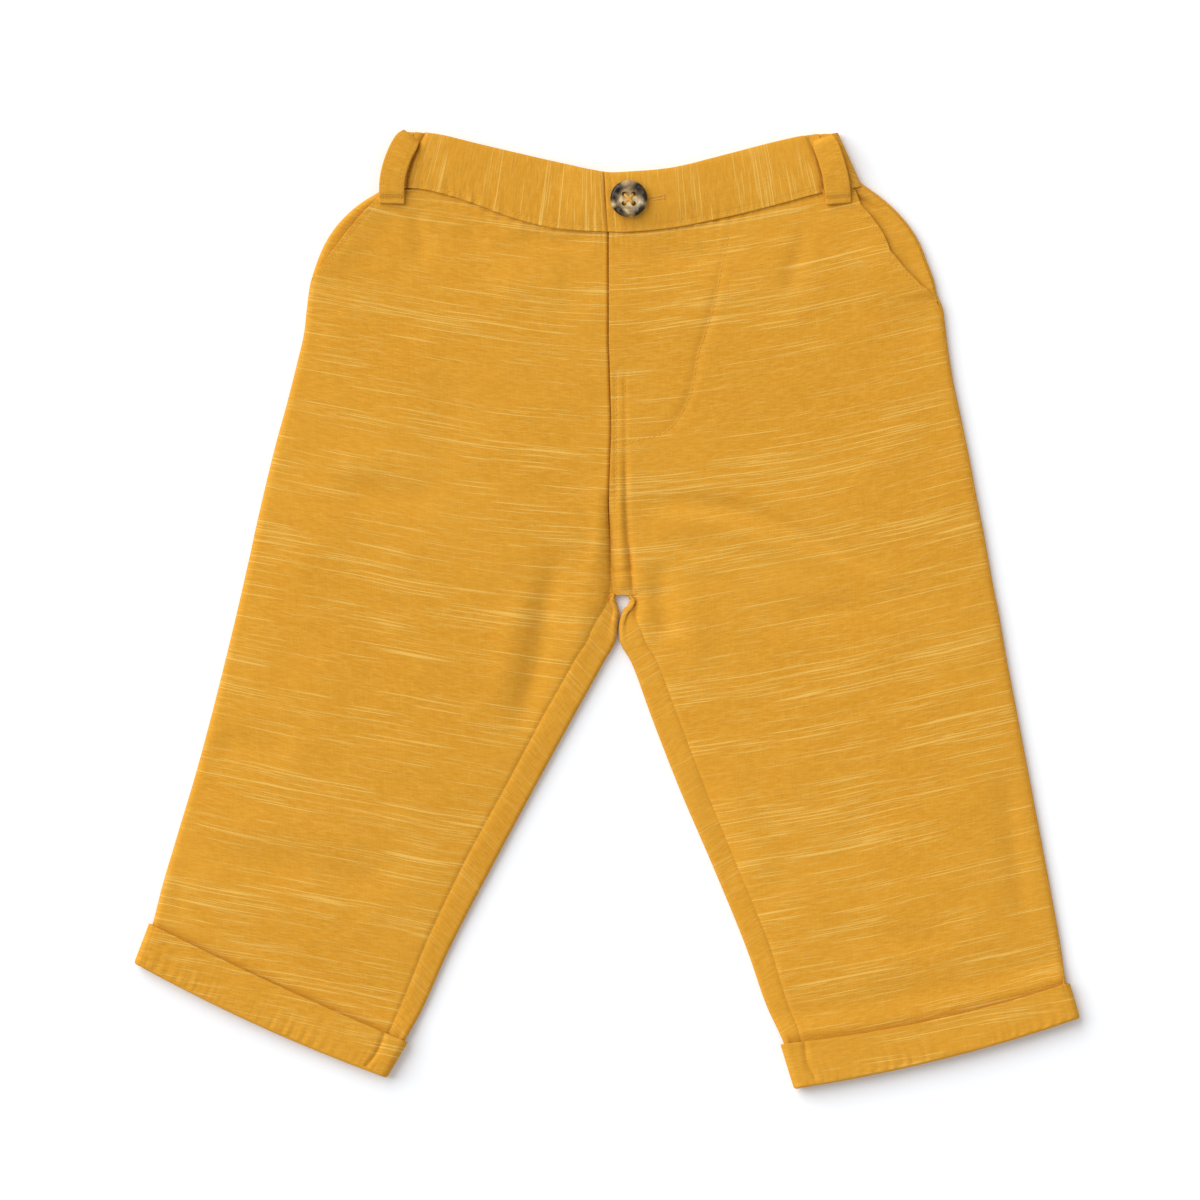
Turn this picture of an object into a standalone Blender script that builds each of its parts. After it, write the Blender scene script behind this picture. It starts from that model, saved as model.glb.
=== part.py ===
"""Baby trousers in mustard slub linen, laid flat on their back.

World frame: metres, +X to the wearer's left, +Y to the waist, +Z up from the
surface they lie on. The origin is under the middle of the whole garment.
Tables and sizes below are in millimetres, as a pattern cutter writes them.
Each panel is an open sheet at the middle of its cloth, given its thickness
by Solidify.
"""
import math
from collections import namedtuple

import bmesh
import bpy
import numpy as np
from mathutils import Vector

MM = 0.001

# ---- driving sizes (mm) ----
PLY = 1.1                # linen with its seam allowances pressed behind it
BAND_PLY = 1.8           # waistband: two layers of linen with interfacing
LOOP_PLY = 1.5           # belt loop: linen folded on itself
GAP = 0.3                # space left between sewn pieces
FOLD_RADIUS = 1.3        # bend of the cloth at the edge of a leg
BAND_RADIUS = 1.5        # bend of the waistband at the hips
CUFF_RADIUS = 2.7        # bend of the turned-up cuff round a leg
LEG_RISE = 1.9           # how far the front of a leg stands above its edges
WAIST_RISE = 0.45        # the same just under the waistband
WAIST_LENGTH = 40.0      # the leg's full rise is reached this far below the waist
FLATTEN_LENGTH = 25.0    # and it starts to flatten this far above a cuff
CROTCH_FADE = 45.0       # the body's shape turns into the leg's over this height
PILLOW_POWER = 3         # how square the leg's section is
LEAST_INSEAM = 2.4       # narrowest strip of the back that shows beside an inseam
SHARP_ANGLE = 40.0       # degrees; sharper edges are cut edges of the cloth
LEG_ROW_STEP = 12.0      # longest space between two rows of a panel
FRONT_COLUMNS = 13
BACK_COLUMNS = 7
ARC_STEPS = 4
RIBBON_COLUMNS = 3
FACING_COLUMNS = 4
BAND_COLUMNS = 5         # from the waistband's top edge to its seam
BAND_FRONT_STEPS = 15
BAND_BACK_STEPS = 12
LOOP_STEPS = 11
LOOP_COLUMNS = 4
CUFF_FRONT_STEPS = 13
CUFF_BACK_STEPS = 7
CUFF_PROFILE = (0.0, 0.35, 0.7, 1.0)    # rows of the cuff, as shares of its depth
CUFF_TURN_ANGLES = (45.0, 90.0, 135.0, 180.0)
FACING_UNDERLAP = 3.0    # how far a pocket facing goes in under the opening
FACING_SINK = 0.45       # and how far it sinks there
POCKET_RAISE = 1.35      # the front stands off the facing at a pocket's edge
POCKET_FULL = 3.0        # by that much where the facing shows this wide
POCKET_REACH = 10.0      # and it dies out this far from the edge
LAP_RAISE = 0.5          # the left front at the centre seam, over the right one
LAP_DIP = 0.35
LAP_WIDTH = 7.0
WAIST_FADE = 45.0        # the waist curve has died out this far down a panel
CUFF_CLEARANCE = GAP + PLY
CUFF_STAND = 1.4         # the leg's back lies on the cuff's back
CUFF_RAMP = 9.0          # the leg climbs onto the cuff over this length
CUFF_LEVEL = 2.5         # and is on it this far above the cuff's corners
CUFF_TURN = 0.7          # bend of the cuff's cloth at its fold
CUFF_INSEAM = (7.0, 6.0) # the inseam's place at the cuff's top edge and at its fold

LINEN_COLOUR = (0.716, 0.342, 0.040, 1.0)
BUTTON_COLOUR = (0.36, 0.25, 0.15, 1.0)

# ---- tables (mm) ----
# Rows of a leg laid flat, from the waist seam down to the cuff: the outer and
# the inner end, how far the inseam lies in from the inner end, and how far the
# pocket edge lies in from the outer end (0 where there is none).
Row = namedtuple("Row", "outer_x outer_y inner_x inner_y inseam pocket")
RIGHT_ROWS = [
    Row(-91.8, 166.6, 0.4, 150.6, 0, 1.5),
    Row(-99.4, 161.8, 0.4, 143.0, 0, 4.0),
    Row(-106.4, 155.4, 0.4, 135.0, 0, 5.3),
    Row(-112.4, 147.0, 0.4, 126.2, 0, 4.7),
    Row(-116.2, 138.2, 0.4, 117.0, 0, 2.4),
    Row(-118.8, 129.4, 0.4, 107.8, 0, 0),
    Row(-120.0, 120.6, 0.7, 99.0, 0, 0),
    Row(-121.2, 110.2, 1.0, 87.8, 0, 0),
    Row(-124.2, 97.4, 1.4, 74.2, 0, 0),
    Row(-127.8, 83.0, 0.9, 59.0, 0, 0),
    Row(-132.0, 67.8, 0.5, 42.6, 0, 0),
    Row(-135.8, 52.6, 1.0, 27.0, 0, 0),
    Row(-138.6, 40.6, 1.5, 15.0, 0, 0),
    Row(-140.6, 31.8, 2.5, 5.0, 2.6, 0),
    Row(-142.0, 25.4, 3.8, 0.4, 5.1, 0),
    Row(-143.4, 19.0, 4.2, -5.0, 8.0, 0),
    Row(-145.0, 11.8, 3.9, -11.0, 10.8, 0),
    Row(-147.2, 2.2, -1.4, -21.4, 11.3, 0),
    Row(-151.6, -16.2, -13.2, -42.6, 11.3, 0),
    Row(-157.6, -40.2, -29.2, -71.8, 10.8, 0),
    Row(-164.6, -66.2, -46.2, -103.4, 10.9, 0),
    Row(-173.0, -94.2, -63.2, -136.2, 9.5, 0),
    Row(-178.6, -113.4, -74.4, -161.0, 8.5, 0),
]
LEFT_ROWS = [
    Row(103.2, 169.4, 0.8, 151.0, 0, 4.2),
    Row(109.8, 164.6, 0.8, 143.0, 0, 8.8),
    Row(115.2, 159.8, 0.8, 135.0, 0, 9.8),
    Row(120.8, 153.4, 0.8, 126.2, 0, 10.9),
    Row(125.0, 146.6, 0.8, 117.0, 0, 12.3),
    Row(128.0, 139.0, 0.8, 107.8, 0, 9.5),
    Row(130.8, 131.4, 1.1, 99.0, 0, 5.8),
    Row(133.2, 121.0, 1.4, 87.8, 0, 0),
    Row(135.4, 107.0, 1.8, 74.2, 0, 0),
    Row(138.2, 92.6, 1.3, 59.0, 0, 0),
    Row(141.4, 77.4, 0.9, 42.6, 0, 0),
    Row(144.4, 63.0, 1.4, 27.0, 0, 0),
    Row(146.4, 52.6, 2.0, 15.0, 0, 0),
    Row(147.8, 45.0, 3.1, 5.6, 0, 0),
    Row(149.8, 34.6, 8.6, 5.3, 0, 0),
    Row(150.8, 29.4, 8.9, 3.2, 2.6, 0),
    Row(151.7, 24.2, 7.2, 0.6, 4.2, 0),
    Row(152.7, 19.0, 5.2, -2.4, 6.4, 0),
    Row(153.6, 13.8, 4.8, -6.4, 8.0, 0),
    Row(154.6, 8.6, 5.0, -11.6, 9.7, 0),
    Row(156.4, -0.2, 9.8, -21.4, 9.9, 0),
    Row(159.6, -18.6, 17.6, -42.6, 10.2, 0),
    Row(164.8, -45.8, 29.0, -71.8, 9.9, 0),
    Row(170.6, -76.2, 42.6, -103.4, 9.2, 0),
    Row(177.2, -111.4, 56.0, -136.2, 9.2, 0),
    Row(181.2, -133.4, 63.6, -158.0, 8.4, 0),
]

# Where the waistband lies: its top edge and its seam with the panels.
Band = namedtuple("Band", "top_x top_y seam_x seam_y")
BAND_ROWS = [
    Band(-81.2, 190.8, -90.8, 167.8),
    Band(-68.0, 189.8, -74.4, 168.0),
    Band(-52.8, 186.2, -57.2, 163.6),
    Band(-34.8, 182.0, -38.0, 156.6),
    Band(-18.0, 178.2, -20.8, 152.4),
    Band(-1.4, 174.8, 0.0, 151.0),
    Band(10.0, 174.9, 10.4, 151.0),
    Band(26.8, 176.6, 28.0, 152.8),
    Band(46.4, 181.4, 49.6, 157.2),
    Band(64.8, 186.2, 69.6, 162.2),
    Band(79.6, 189.4, 85.8, 166.5),
    Band(92.4, 190.2, 102.0, 169.0),
]
BAND_SIDE_RIGHT = 0.31    # the side seams, in rows of the table above
BAND_SIDE_LEFT = 10.42
BAND_LAP_END = 6.5        # how far the right half goes on under the left one
BAND_LAP_EDGE = 5.03
BAND_LEVEL = BAND_PLY / 2 + 2 * BAND_RADIUS
BAND_LAP_RAISE = 1.3      # the left half stands higher from this row to the lap
BAND_RAISE_END = 8.6
BAND_RAISE_ROWS = 2.0     # and climbs over so many rows
BAND_LAP_DIP = 0.8        # the right half dips under it from this row
BAND_DIP_START = 4.2
BAND_DIP_ROWS = 0.7
BAND_SIDE_GAP = 0.03      # rows left free at a side seam
BAND_CROWN = 0.25         # the waistband bulges this far in its middle
BAND_END_ROW = 0.5        # its ends point from this row to the first one
BAND_FLAT_ROW = 0.6       # and its back is flat from this row on

# Turned-up cuffs: the four corners in plan and how far each edge sags.
Cuff = namedtuple("Cuff", "outer_top inner_top outer_end inner_end top_sag end_sag")
CUFFS = {
    "right": Cuff((-183.0, -125.4), (-79.6, -173.0), (-189.2, -141.4), (-88.0, -187.4), 1.0, 2.0),
    "left": Cuff((185.0, -149.4), (69.3, -173.9), (189.2, -163.4), (74.8, -191.8), 3.0, 2.5),
}

# The largest folds of the fronts: a line in plan, how wide it is on each side,
# and how far it lifts (+) or sinks (-) the cloth.
Fold = namedtuple("Fold", "x0 y0 x1 y1 width lift")
FOLDS = [
    Fold(33.0, 43.0, 95.0, 22.0, 8.0, -0.8),
    Fold(40.0, 28.0, 100.0, 8.0, 9.0, 0.5),
    Fold(69.0, -3.0, 135.0, 2.0, 9.0, -0.6),
    Fold(-18.0, 26.0, -37.0, -52.0, 9.0, -0.9),
    Fold(22.0, 18.0, 24.0, -10.0, 8.0, -0.8),
    Fold(35.0, -64.0, 53.0, -112.0, 9.0, -0.6),
    Fold(-103.0, 46.0, -67.0, 45.0, 11.0, -0.5),
    Fold(-161.0, -54.0, -127.0, -56.0, 11.0, -0.5),
    Fold(-160.0, -95.0, -80.0, -110.0, 11.0, -0.6),
    Fold(-76.0, 161.0, -73.0, 138.0, 7.0, -0.5),
    Fold(-34.0, 148.0, -4.0, 146.0, 7.0, -0.5),
    Fold(-38.0, 133.0, -20.0, 131.0, 10.0, 0.5),
    Fold(14.0, 144.0, 46.0, 140.0, 7.0, -0.5),
    Fold(159.0, -64.0, 166.0, -130.0, 8.0, -0.4),
]
FOLD_EDGE = 12.0          # folds die out this far from a leg's edge

# Belt loops: their middle lines in plan.
LOOP_LINES = {
    "right": [(-78.2, 188.6), (-81.8, 183.0), (-84.6, 175.8), (-85.8, 167.8), (-86.0, 162.2)],
    "left": [(86.2, 188.4), (89.4, 179.8), (91.8, 170.2), (92.6, 162.2)],
}
LOOP_WIDTH = 10.0
LOOP_STAND = 1.5
LOOP_ARCH = 0.7           # under 1 the loop rises steeply at its two ends

BUTTON_PLACE = (8.7, 164.0)
BUTTON_HOLE = 1.9
BUTTON_HOLE_SPACE = 3.8
BUTTON_HOLE_SIDES = 12
BUTTON_CUT_DEPTH = 8.0
BUTTON_STEPS = 32
# The button's half section, from the middle of its dish round the rim to its back.
Ring = namedtuple("Ring", "reach height")
BUTTON_RINGS = [
    Ring(0.0, 1.9),
    Ring(2.6, 1.9),
    Ring(4.4, 2.0),
    Ring(5.1, 2.45),
    Ring(5.9, 2.8),
    Ring(6.7, 2.6),
    Ring(7.25, 2.0),
    Ring(7.4, 1.4),
    Ring(7.1, 0.6),
    Ring(6.2, 0.1),
    Ring(5.2, 0.0),
    Ring(0.0, 0.0),
]


def smoothstep(value):
    """0 below 0 and 1 above 1, with an S-shaped way between."""
    value = np.clip(value, 0.0, 1.0)
    return value * value * (3.0 - 2.0 * value)


def unit(vectors):
    return vectors / np.linalg.norm(vectors, axis=-1, keepdims=True)


def spline(knots, places, stations):
    """Cubic through the knots, whose slope at a knot is that of its neighbours."""
    knots = np.asarray(knots, float)
    slopes = np.gradient(knots, places, axis=0)
    span = np.clip(np.searchsorted(places, stations, side="right") - 1, 0, len(places) - 2)
    width = places[span + 1] - places[span]
    t = ((stations - places[span]) / width)[:, None]
    width = width[:, None]
    start = (1 + 2 * t) * (1 - t) ** 2 * knots[span] + t * (1 - t) ** 2 * width * slopes[span]
    end = t * t * (3 - 2 * t) * knots[span + 1] - t * t * (1 - t) * width * slopes[span + 1]
    return start + end


def lengths_along(points):
    steps = np.linalg.norm(np.diff(points, axis=0), axis=1)
    return np.concatenate([[0.0], np.cumsum(steps)])


def bow(across, sag):
    """A shallow curve: 0 at both ends and sag in the middle."""
    return sag * 4.0 * across * (1.0 - across)


def make_object(name, points, faces, material, collection, parent):
    """A mesh object from points in mm."""
    mesh = bpy.data.meshes.new(name)
    mesh.from_pydata((np.asarray(points, float) * MM).tolist(), [], faces)
    mesh.materials.append(material)
    obj = bpy.data.objects.new(name, mesh)
    collection.objects.link(obj)
    obj.parent = parent
    return obj


def grid_faces(rows, columns, keep=None, closed=False):
    """Quads of a grid of points; keep(row, column) may leave some out."""
    faces = []
    last = columns if closed else columns - 1
    for row in range(rows - 1):
        for column in range(last):
            if keep is not None and not keep(row, column):
                continue
            after = (column + 1) % columns
            low = row * columns
            high = low + columns
            faces.append((low + column, low + after, high + after, high + column))
    return faces


def thicken(obj, thickness):
    """The sheet becomes a wall, half of it on each side."""
    solidify = obj.modifiers.new("cloth thickness", "SOLIDIFY")
    solidify.thickness = thickness * MM
    solidify.offset = 0.0
    solidify.use_even_offset = True
    obj.data.shade_smooth()
    obj.data.set_sharp_from_angle(angle=math.radians(SHARP_ANGLE))


def sheet(name, grid, thickness, context, keep=None, closed=False):
    """A piece of cloth from a grid of mid-wall points, shape (rows, columns, 3)."""
    rows, columns = grid.shape[:2]
    faces = grid_faces(rows, columns, keep, closed)
    obj = make_object(name, grid.reshape(-1, 3), faces, context["linen"],
                      context["collection"], context["parent"])
    bm = bmesh.new()
    bm.from_mesh(obj.data)
    loose = [vert for vert in bm.verts if not vert.link_faces]
    bmesh.ops.delete(bm, geom=loose, context="VERTS")
    bmesh.ops.recalc_face_normals(bm, faces=bm.faces)
    bm.to_mesh(obj.data)
    bm.free()
    thicken(obj, thickness)
    return obj


def cuff_edges(cuff, across):
    """The cuff's top edge and its fold in plan, from the outer corner to the inner."""
    across = np.asarray(across, float)[:, None]
    outer_top, inner_top = np.array(cuff.outer_top), np.array(cuff.inner_top)
    outer_end, inner_end = np.array(cuff.outer_end), np.array(cuff.inner_end)
    down = unit((outer_end + inner_end) - (outer_top + inner_top))
    top = outer_top + (inner_top - outer_top) * across + down * bow(across, cuff.top_sag)
    end = outer_end + (inner_end - outer_end) * across + down * bow(across, cuff.end_sag)
    return top, end, down


class Leg:
    """One half of the trousers in plan, with its heights above the surface."""

    def __init__(self, side, rows):
        self.side = side
        self.cuff = CUFFS[side]
        outer = np.array([(row.outer_x, row.outer_y) for row in rows])
        inner = np.array([(row.inner_x, row.inner_y) for row in rows])
        inseam = np.array([row.inseam for row in rows], float)
        pocket = np.array([row.pocket for row in rows], float)
        table_folded = np.argmax(inseam > 0)
        outer, inner, inseam, pocket = self.add_cuff_rows(outer, inner, inseam, pocket)
        longest = np.maximum(np.linalg.norm(np.diff(outer, axis=0), axis=1),
                             np.linalg.norm(np.diff(inner, axis=0), axis=1))
        places = np.concatenate([[0.0], np.cumsum(longest)])
        stations = [0.0]
        for span, length in enumerate(longest):
            steps = max(1, math.ceil(length / LEG_ROW_STEP))
            stations += list(np.linspace(places[span], places[span + 1], steps + 1)[1:])
        stations = np.array(stations)
        self.outer = spline(outer, places, stations)
        self.inner = spline(inner, places, stations)
        self.inseam = np.maximum(np.interp(stations, places, inseam), LEAST_INSEAM)
        self.pocket = np.interp(stations, places, pocket)
        self.first_folded = int(np.searchsorted(stations, places[table_folded] - 1e-6))
        self.folded = np.arange(len(stations)) >= self.first_folded
        self.along = unit(self.outer - self.inner)
        self.width = np.linalg.norm(self.outer - self.inner, axis=1)
        distance = self.to_cuff()
        self.stand = CUFF_STAND * smoothstep(1.0 - (distance - CUFF_LEVEL) / CUFF_RAMP)
        self.flatten = smoothstep(distance / FLATTEN_LENGTH)
        in_cuff = smoothstep(1.0 - (distance - CUFF_LEVEL) / CUFF_RAMP)[:, None]
        self.outer_out = self.outward(self.outer, self.along)
        self.outer_out = unit(self.outer_out + (self.along - self.outer_out) * in_cuff)
        self.inner_out = self.outward(self.inner, -self.along)
        self.inner_out = unit(self.inner_out - (self.along + self.inner_out) * in_cuff)
        reach = FOLD_RADIUS + PLY / 2
        facing = np.sum(self.outer_out * self.along, axis=1)
        self.outer_reach = (reach + GAP) / np.maximum(facing, 0.5)
        self.outer_bend = self.outer - self.outer_out * reach
        self.inner_bend = self.inner - self.inner_out * (reach * self.folded)[:, None]
        waist = np.linalg.norm(self.inner - self.inner[0], axis=1)
        self.waist = smoothstep(waist / WAIST_LENGTH)
        above_crotch = self.inner[:, 1] - self.inner[self.first_folded, 1]
        self.crotch = smoothstep(1.0 - above_crotch / CROTCH_FADE)
        self.seam_shift = np.clip(1.0 - waist / WAIST_FADE, 0.0, 1.0) ** 2

    def add_cuff_rows(self, outer, inner, inseam, pocket):
        """Two last rows that run inside the cuff: at its top edge and just above its fold."""
        top, end, down = cuff_edges(self.cuff, [0.0, 1.0])
        for edge, lift in ((top, 0.0), (end, CUFF_TURN + PLY + 2 * GAP)):
            side = unit(edge[0] - edge[1])
            outer = np.vstack([outer, edge[0] - side * CUFF_CLEARANCE - down * lift])
            inner = np.vstack([inner, edge[1] + side * CUFF_CLEARANCE - down * lift])
        inseam = np.concatenate([inseam, CUFF_INSEAM])
        pocket = np.concatenate([pocket, [0.0, 0.0]])
        return outer, inner, inseam, pocket

    def outward(self, edge, away):
        """Unit normals of an outline, turned to the side that away points to."""
        tangent = unit(np.gradient(edge, axis=0))
        normal = np.stack([tangent[:, 1], -tangent[:, 0]], axis=1)
        facing = np.sign(np.sum(normal * away, axis=1))
        return normal * facing[:, None]

    def to_cuff(self):
        """How far each row lies above the cuff's top edge, 0 inside the cuff."""
        middle = (self.outer + self.inner) / 2
        top, end, down = cuff_edges(self.cuff, [0.0, 1.0])
        line = (top[0] + top[1]) / 2
        return np.clip(np.sum((line - middle) * down, axis=1), 0.0, None)

    def seam_bend(self, across):
        """How far the waist seam leaves the straight line of the first row."""
        seam = np.array([(row.seam_x, row.seam_y) for row in BAND_ROWS])
        keep = seam[:, 0] < 0 if self.side == "right" else seam[:, 0] > 1
        line = seam[keep]
        line = line[np.argsort(np.abs(line[:, 0]))][:-1]
        line = np.vstack([self.inner[0], line, self.outer[0]])
        places = lengths_along(line)
        curve = spline(line, places, across * places[-1])
        straight = self.inner[0] + (self.outer[0] - self.inner[0]) * across[:, None]
        return curve - straight - np.array([0.0, GAP])

    def shifted(self, plan, across):
        """Points of the rows, bent with the waist seam and with the cuff's fold."""
        shift = self.seam_bend(across.ravel()).reshape(*across.shape, 2)
        top, end, down = cuff_edges(self.cuff, [0.5])
        near_cuff = (1.0 - self.flatten)[:, None]
        sag = bow(across, 1.0) * self.cuff.end_sag * near_cuff
        return plan + shift * self.seam_shift[:, None, None] + sag[..., None] * down

    def top_height(self, plan, across):
        """Mid-wall height of the front: a low pillow between the leg's edges,
        high at the centre seam above the crotch, with the largest folds."""
        level = PLY / 2 + 2 * FOLD_RADIUS + self.stand
        reach = (FOLD_RADIUS + PLY / 2) / self.width
        inside = np.clip((across - reach[:, None]) / (1.0 - 2.0 * reach[:, None]), 0.0, 1.0)
        leg = 1.0 - np.abs(2.0 * inside - 1.0) ** PILLOW_POWER
        body = 1.0 - inside ** PILLOW_POWER
        pillow = body + (leg - body) * self.crotch[:, None]
        rise = WAIST_RISE + (LEG_RISE - WAIST_RISE) * self.waist
        height = level[:, None] + pillow * (rise * self.flatten)[:, None]
        from_outer = (1.0 - inside) * self.width[:, None]
        from_inner = inside * self.width[:, None] + FOLD_EDGE * (1.0 - self.crotch[:, None])
        edge = smoothstep(np.minimum(from_outer, from_inner) / FOLD_EDGE)
        height = height + folds(plan) * edge * self.flatten[:, None]
        lap = LAP_RAISE if self.side == "left" else -LAP_DIP
        beside = np.exp(-inside * self.width[:, None] / LAP_WIDTH)
        height = height + lap * beside * (1.0 - self.crotch[:, None])
        return height


def folds(plan):
    """Sum of soft ridges and troughs, each a bell across its line."""
    total = np.zeros(plan.shape[:-1])
    for fold in FOLDS:
        start = np.array([fold.x0, fold.y0])
        line = np.array([fold.x1, fold.y1]) - start
        along = np.clip(((plan - start) @ line) / (line @ line), 0.0, 1.0)
        gap = np.linalg.norm(plan - start - along[..., None] * line, axis=-1)
        total += fold.lift * np.exp(-(gap / fold.width) ** 2)
    return total


def front_panel(leg, context):
    """The front from the inseam or centre seam to the side seam or pocket edge."""
    start = np.where(leg.folded, leg.inseam + GAP, 0.0)
    stop = leg.width - np.maximum(leg.pocket, leg.outer_reach)
    fraction = np.linspace(0.0, 1.0, FRONT_COLUMNS)
    distance = start[:, None] + (stop - start)[:, None] * fraction
    across = distance / leg.width[:, None]
    plan = leg.inner[:, None, :] + leg.along[:, None, :] * distance[..., None]
    plan = leg.shifted(plan, across)
    height = leg.top_height(plan, across)
    beyond = (stop[:, None] - distance) / POCKET_REACH
    raised = POCKET_RAISE * smoothstep(leg.pocket / POCKET_FULL)[:, None] * np.exp(-beyond ** 2)
    grid = np.dstack([plan, height + raised])
    return sheet("front_%s_panel" % leg.side, grid, PLY, context)


def back_panel(leg, context):
    """The back: up round the outer edge, flat underneath, and below the crotch
    up round the inner leg and onto the front as far as the inseam."""
    level = PLY / 2 + leg.stand
    angles = np.linspace(90.0, -90.0, ARC_STEPS + 1)[:-1]
    columns = []
    for angle in np.radians(angles):
        plan = leg.outer_bend + leg.outer_out * (FOLD_RADIUS * math.cos(angle))
        height = level + FOLD_RADIUS * (1.0 + math.sin(angle))
        columns.append(np.column_stack([plan, height]))
    for fraction in np.linspace(1.0, 0.0, BACK_COLUMNS):
        plan = leg.inner_bend + (leg.outer_bend - leg.inner_bend) * fraction
        across = np.full((len(plan), 1), fraction)
        plan = leg.shifted(plan[:, None, :], across)[:, 0]
        columns.append(np.column_stack([plan, level]))
    first_arc = len(columns)
    for angle in np.radians(-angles[1:]):
        plan = leg.inner_bend + leg.inner_out * (FOLD_RADIUS * math.cos(angle))
        height = level + FOLD_RADIUS * (1.0 + math.sin(angle))
        columns.append(np.column_stack([plan, height]))
    ribbon_end = leg.inner + leg.along * leg.inseam[:, None]
    for fraction in np.linspace(0.0, 1.0, RIBBON_COLUMNS):
        plan = leg.inner_bend + (ribbon_end - leg.inner_bend) * fraction
        across = np.sum((plan - leg.inner) * leg.along, axis=1) / leg.width
        height = leg.top_height(plan[:, None, :], across[:, None])[:, 0]
        columns.append(np.column_stack([plan, height]))
    grid = np.stack(columns, axis=1)

    def keep(row, column):
        return column + 1 < first_arc or row >= leg.first_folded

    return sheet("back_%s_panel" % leg.side, grid, PLY, context, keep)


def pocket_facing(leg, context):
    """The hip piece behind the slanted opening, from the side seam to under the front."""
    rows = np.flatnonzero(leg.pocket > leg.outer_reach + 0.5)
    seam = leg.outer_bend[rows] - leg.outer_out[rows] * 2 * GAP
    inside = leg.outer[rows] - leg.along[rows] * (leg.pocket[rows] + FACING_UNDERLAP)[:, None]
    columns = []
    for fraction in np.linspace(0.0, 1.0, FACING_COLUMNS):
        plan = seam + (inside - seam) * fraction
        across = np.sum((plan - leg.inner[rows]) * leg.along[rows], axis=1) / leg.width[rows]
        bend = leg.seam_bend(across) * leg.seam_shift[rows][:, None]
        height = PLY / 2 + 2 * FOLD_RADIUS - FACING_SINK * fraction
        columns.append(np.column_stack([plan + bend, np.full(len(rows), height)]))
    grid = np.stack(columns, axis=1)
    return sheet("pocket_facing_%s" % leg.side, grid, PLY, context)


def band_points(stations, down):
    """Plan points of the waistband at table rows, from the top edge (0) to the seam (1)."""
    top = np.array([(row.top_x, row.top_y) for row in BAND_ROWS])
    seam = np.array([(row.seam_x, row.seam_y) for row in BAND_ROWS])
    places = np.arange(len(BAND_ROWS), dtype=float)
    stations = np.asarray(stations, float)
    top = spline(top, places, stations)
    seam = spline(seam, places, stations)
    return top + (seam - top) * down


def front_band(side, context):
    """Half of the front waistband; near the centre one half lies on the other."""
    if side == "right":
        stations = np.linspace(BAND_SIDE_RIGHT + BAND_SIDE_GAP, BAND_LAP_END, BAND_FRONT_STEPS)
        middle = smoothstep((stations - BAND_DIP_START) / BAND_DIP_ROWS)
        level = BAND_LEVEL - BAND_LAP_DIP * middle
    else:
        stations = np.linspace(BAND_LAP_EDGE, BAND_SIDE_LEFT - BAND_SIDE_GAP, BAND_FRONT_STEPS)
        middle = smoothstep((BAND_RAISE_END - stations) / BAND_RAISE_ROWS)
        level = BAND_LEVEL + BAND_LAP_RAISE * middle
    columns = []
    for down in np.linspace(0.0, 1.0, BAND_COLUMNS):
        plan = band_points(stations, down)
        crown = BAND_CROWN * math.sin(math.pi * down)
        columns.append(np.column_stack([plan, level + crown]))
    grid = np.stack(columns, axis=1)
    return sheet("waistband_%s" % side, grid, BAND_PLY, context)


def back_band(context):
    """The back waistband: flat underneath, up round both hips to the side seams."""
    last = len(BAND_ROWS) - 1.0
    angles = np.radians(np.linspace(90.0, -90.0, ARC_STEPS + 1))
    reach = BAND_RADIUS + BAND_PLY / 2
    columns = []
    for down in np.linspace(0.0, 1.0, BAND_COLUMNS):
        path = []
        ends = band_points([0.0, BAND_END_ROW, last - BAND_END_ROW, last], down)
        right_out = unit(ends[0] - ends[1])
        left_out = unit(ends[3] - ends[2])
        right_bend = ends[0] - right_out * reach
        left_bend = ends[3] - left_out * reach
        seam_right = band_points([BAND_SIDE_RIGHT], down)[0]
        seam_left = band_points([BAND_SIDE_LEFT], down)[0]
        path.append((*seam_right, BAND_LEVEL))
        for angle in angles:
            plan = right_bend + right_out * (BAND_RADIUS * math.cos(angle))
            path.append((*plan, BAND_PLY / 2 + BAND_RADIUS * (1 + math.sin(angle))))
        flat = np.linspace(BAND_FLAT_ROW, last - BAND_FLAT_ROW, BAND_BACK_STEPS)
        for plan in band_points(flat, down):
            path.append((*plan, BAND_PLY / 2))
        for angle in angles[::-1]:
            plan = left_bend + left_out * (BAND_RADIUS * math.cos(angle))
            path.append((*plan, BAND_PLY / 2 + BAND_RADIUS * (1 + math.sin(angle))))
        middle = (left_bend + seam_left) / 2
        path.append((*middle, BAND_LEVEL))
        path.append((*seam_left, BAND_LEVEL))
        columns.append(np.array(path))
    grid = np.stack(columns, axis=1)
    return sheet("waistband_back", grid, BAND_PLY, context)


def belt_loop(side, context):
    """A flat strip sewn down at both ends, which stands off the waistband between them."""
    knots = np.array(LOOP_LINES[side])
    places = lengths_along(knots)
    stations = np.linspace(0.0, places[-1], LOOP_STEPS)
    line = spline(knots, places, stations)
    tangent = unit(np.gradient(line, axis=0))
    across = np.stack([-tangent[:, 1], tangent[:, 0]], axis=1)
    fraction = stations / places[-1]
    level = BAND_LEVEL + BAND_PLY / 2 + BAND_CROWN + GAP + LOOP_PLY / 2
    height = level + LOOP_STAND * np.sin(math.pi * fraction) ** LOOP_ARCH
    columns = []
    for offset in np.linspace(-0.5, 0.5, LOOP_COLUMNS):
        plan = line + across * (offset * LOOP_WIDTH)
        columns.append(np.column_stack([plan, height]))
    grid = np.stack(columns, axis=1)
    return sheet("belt_loop_%s" % side, grid, LOOP_PLY, context)


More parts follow.
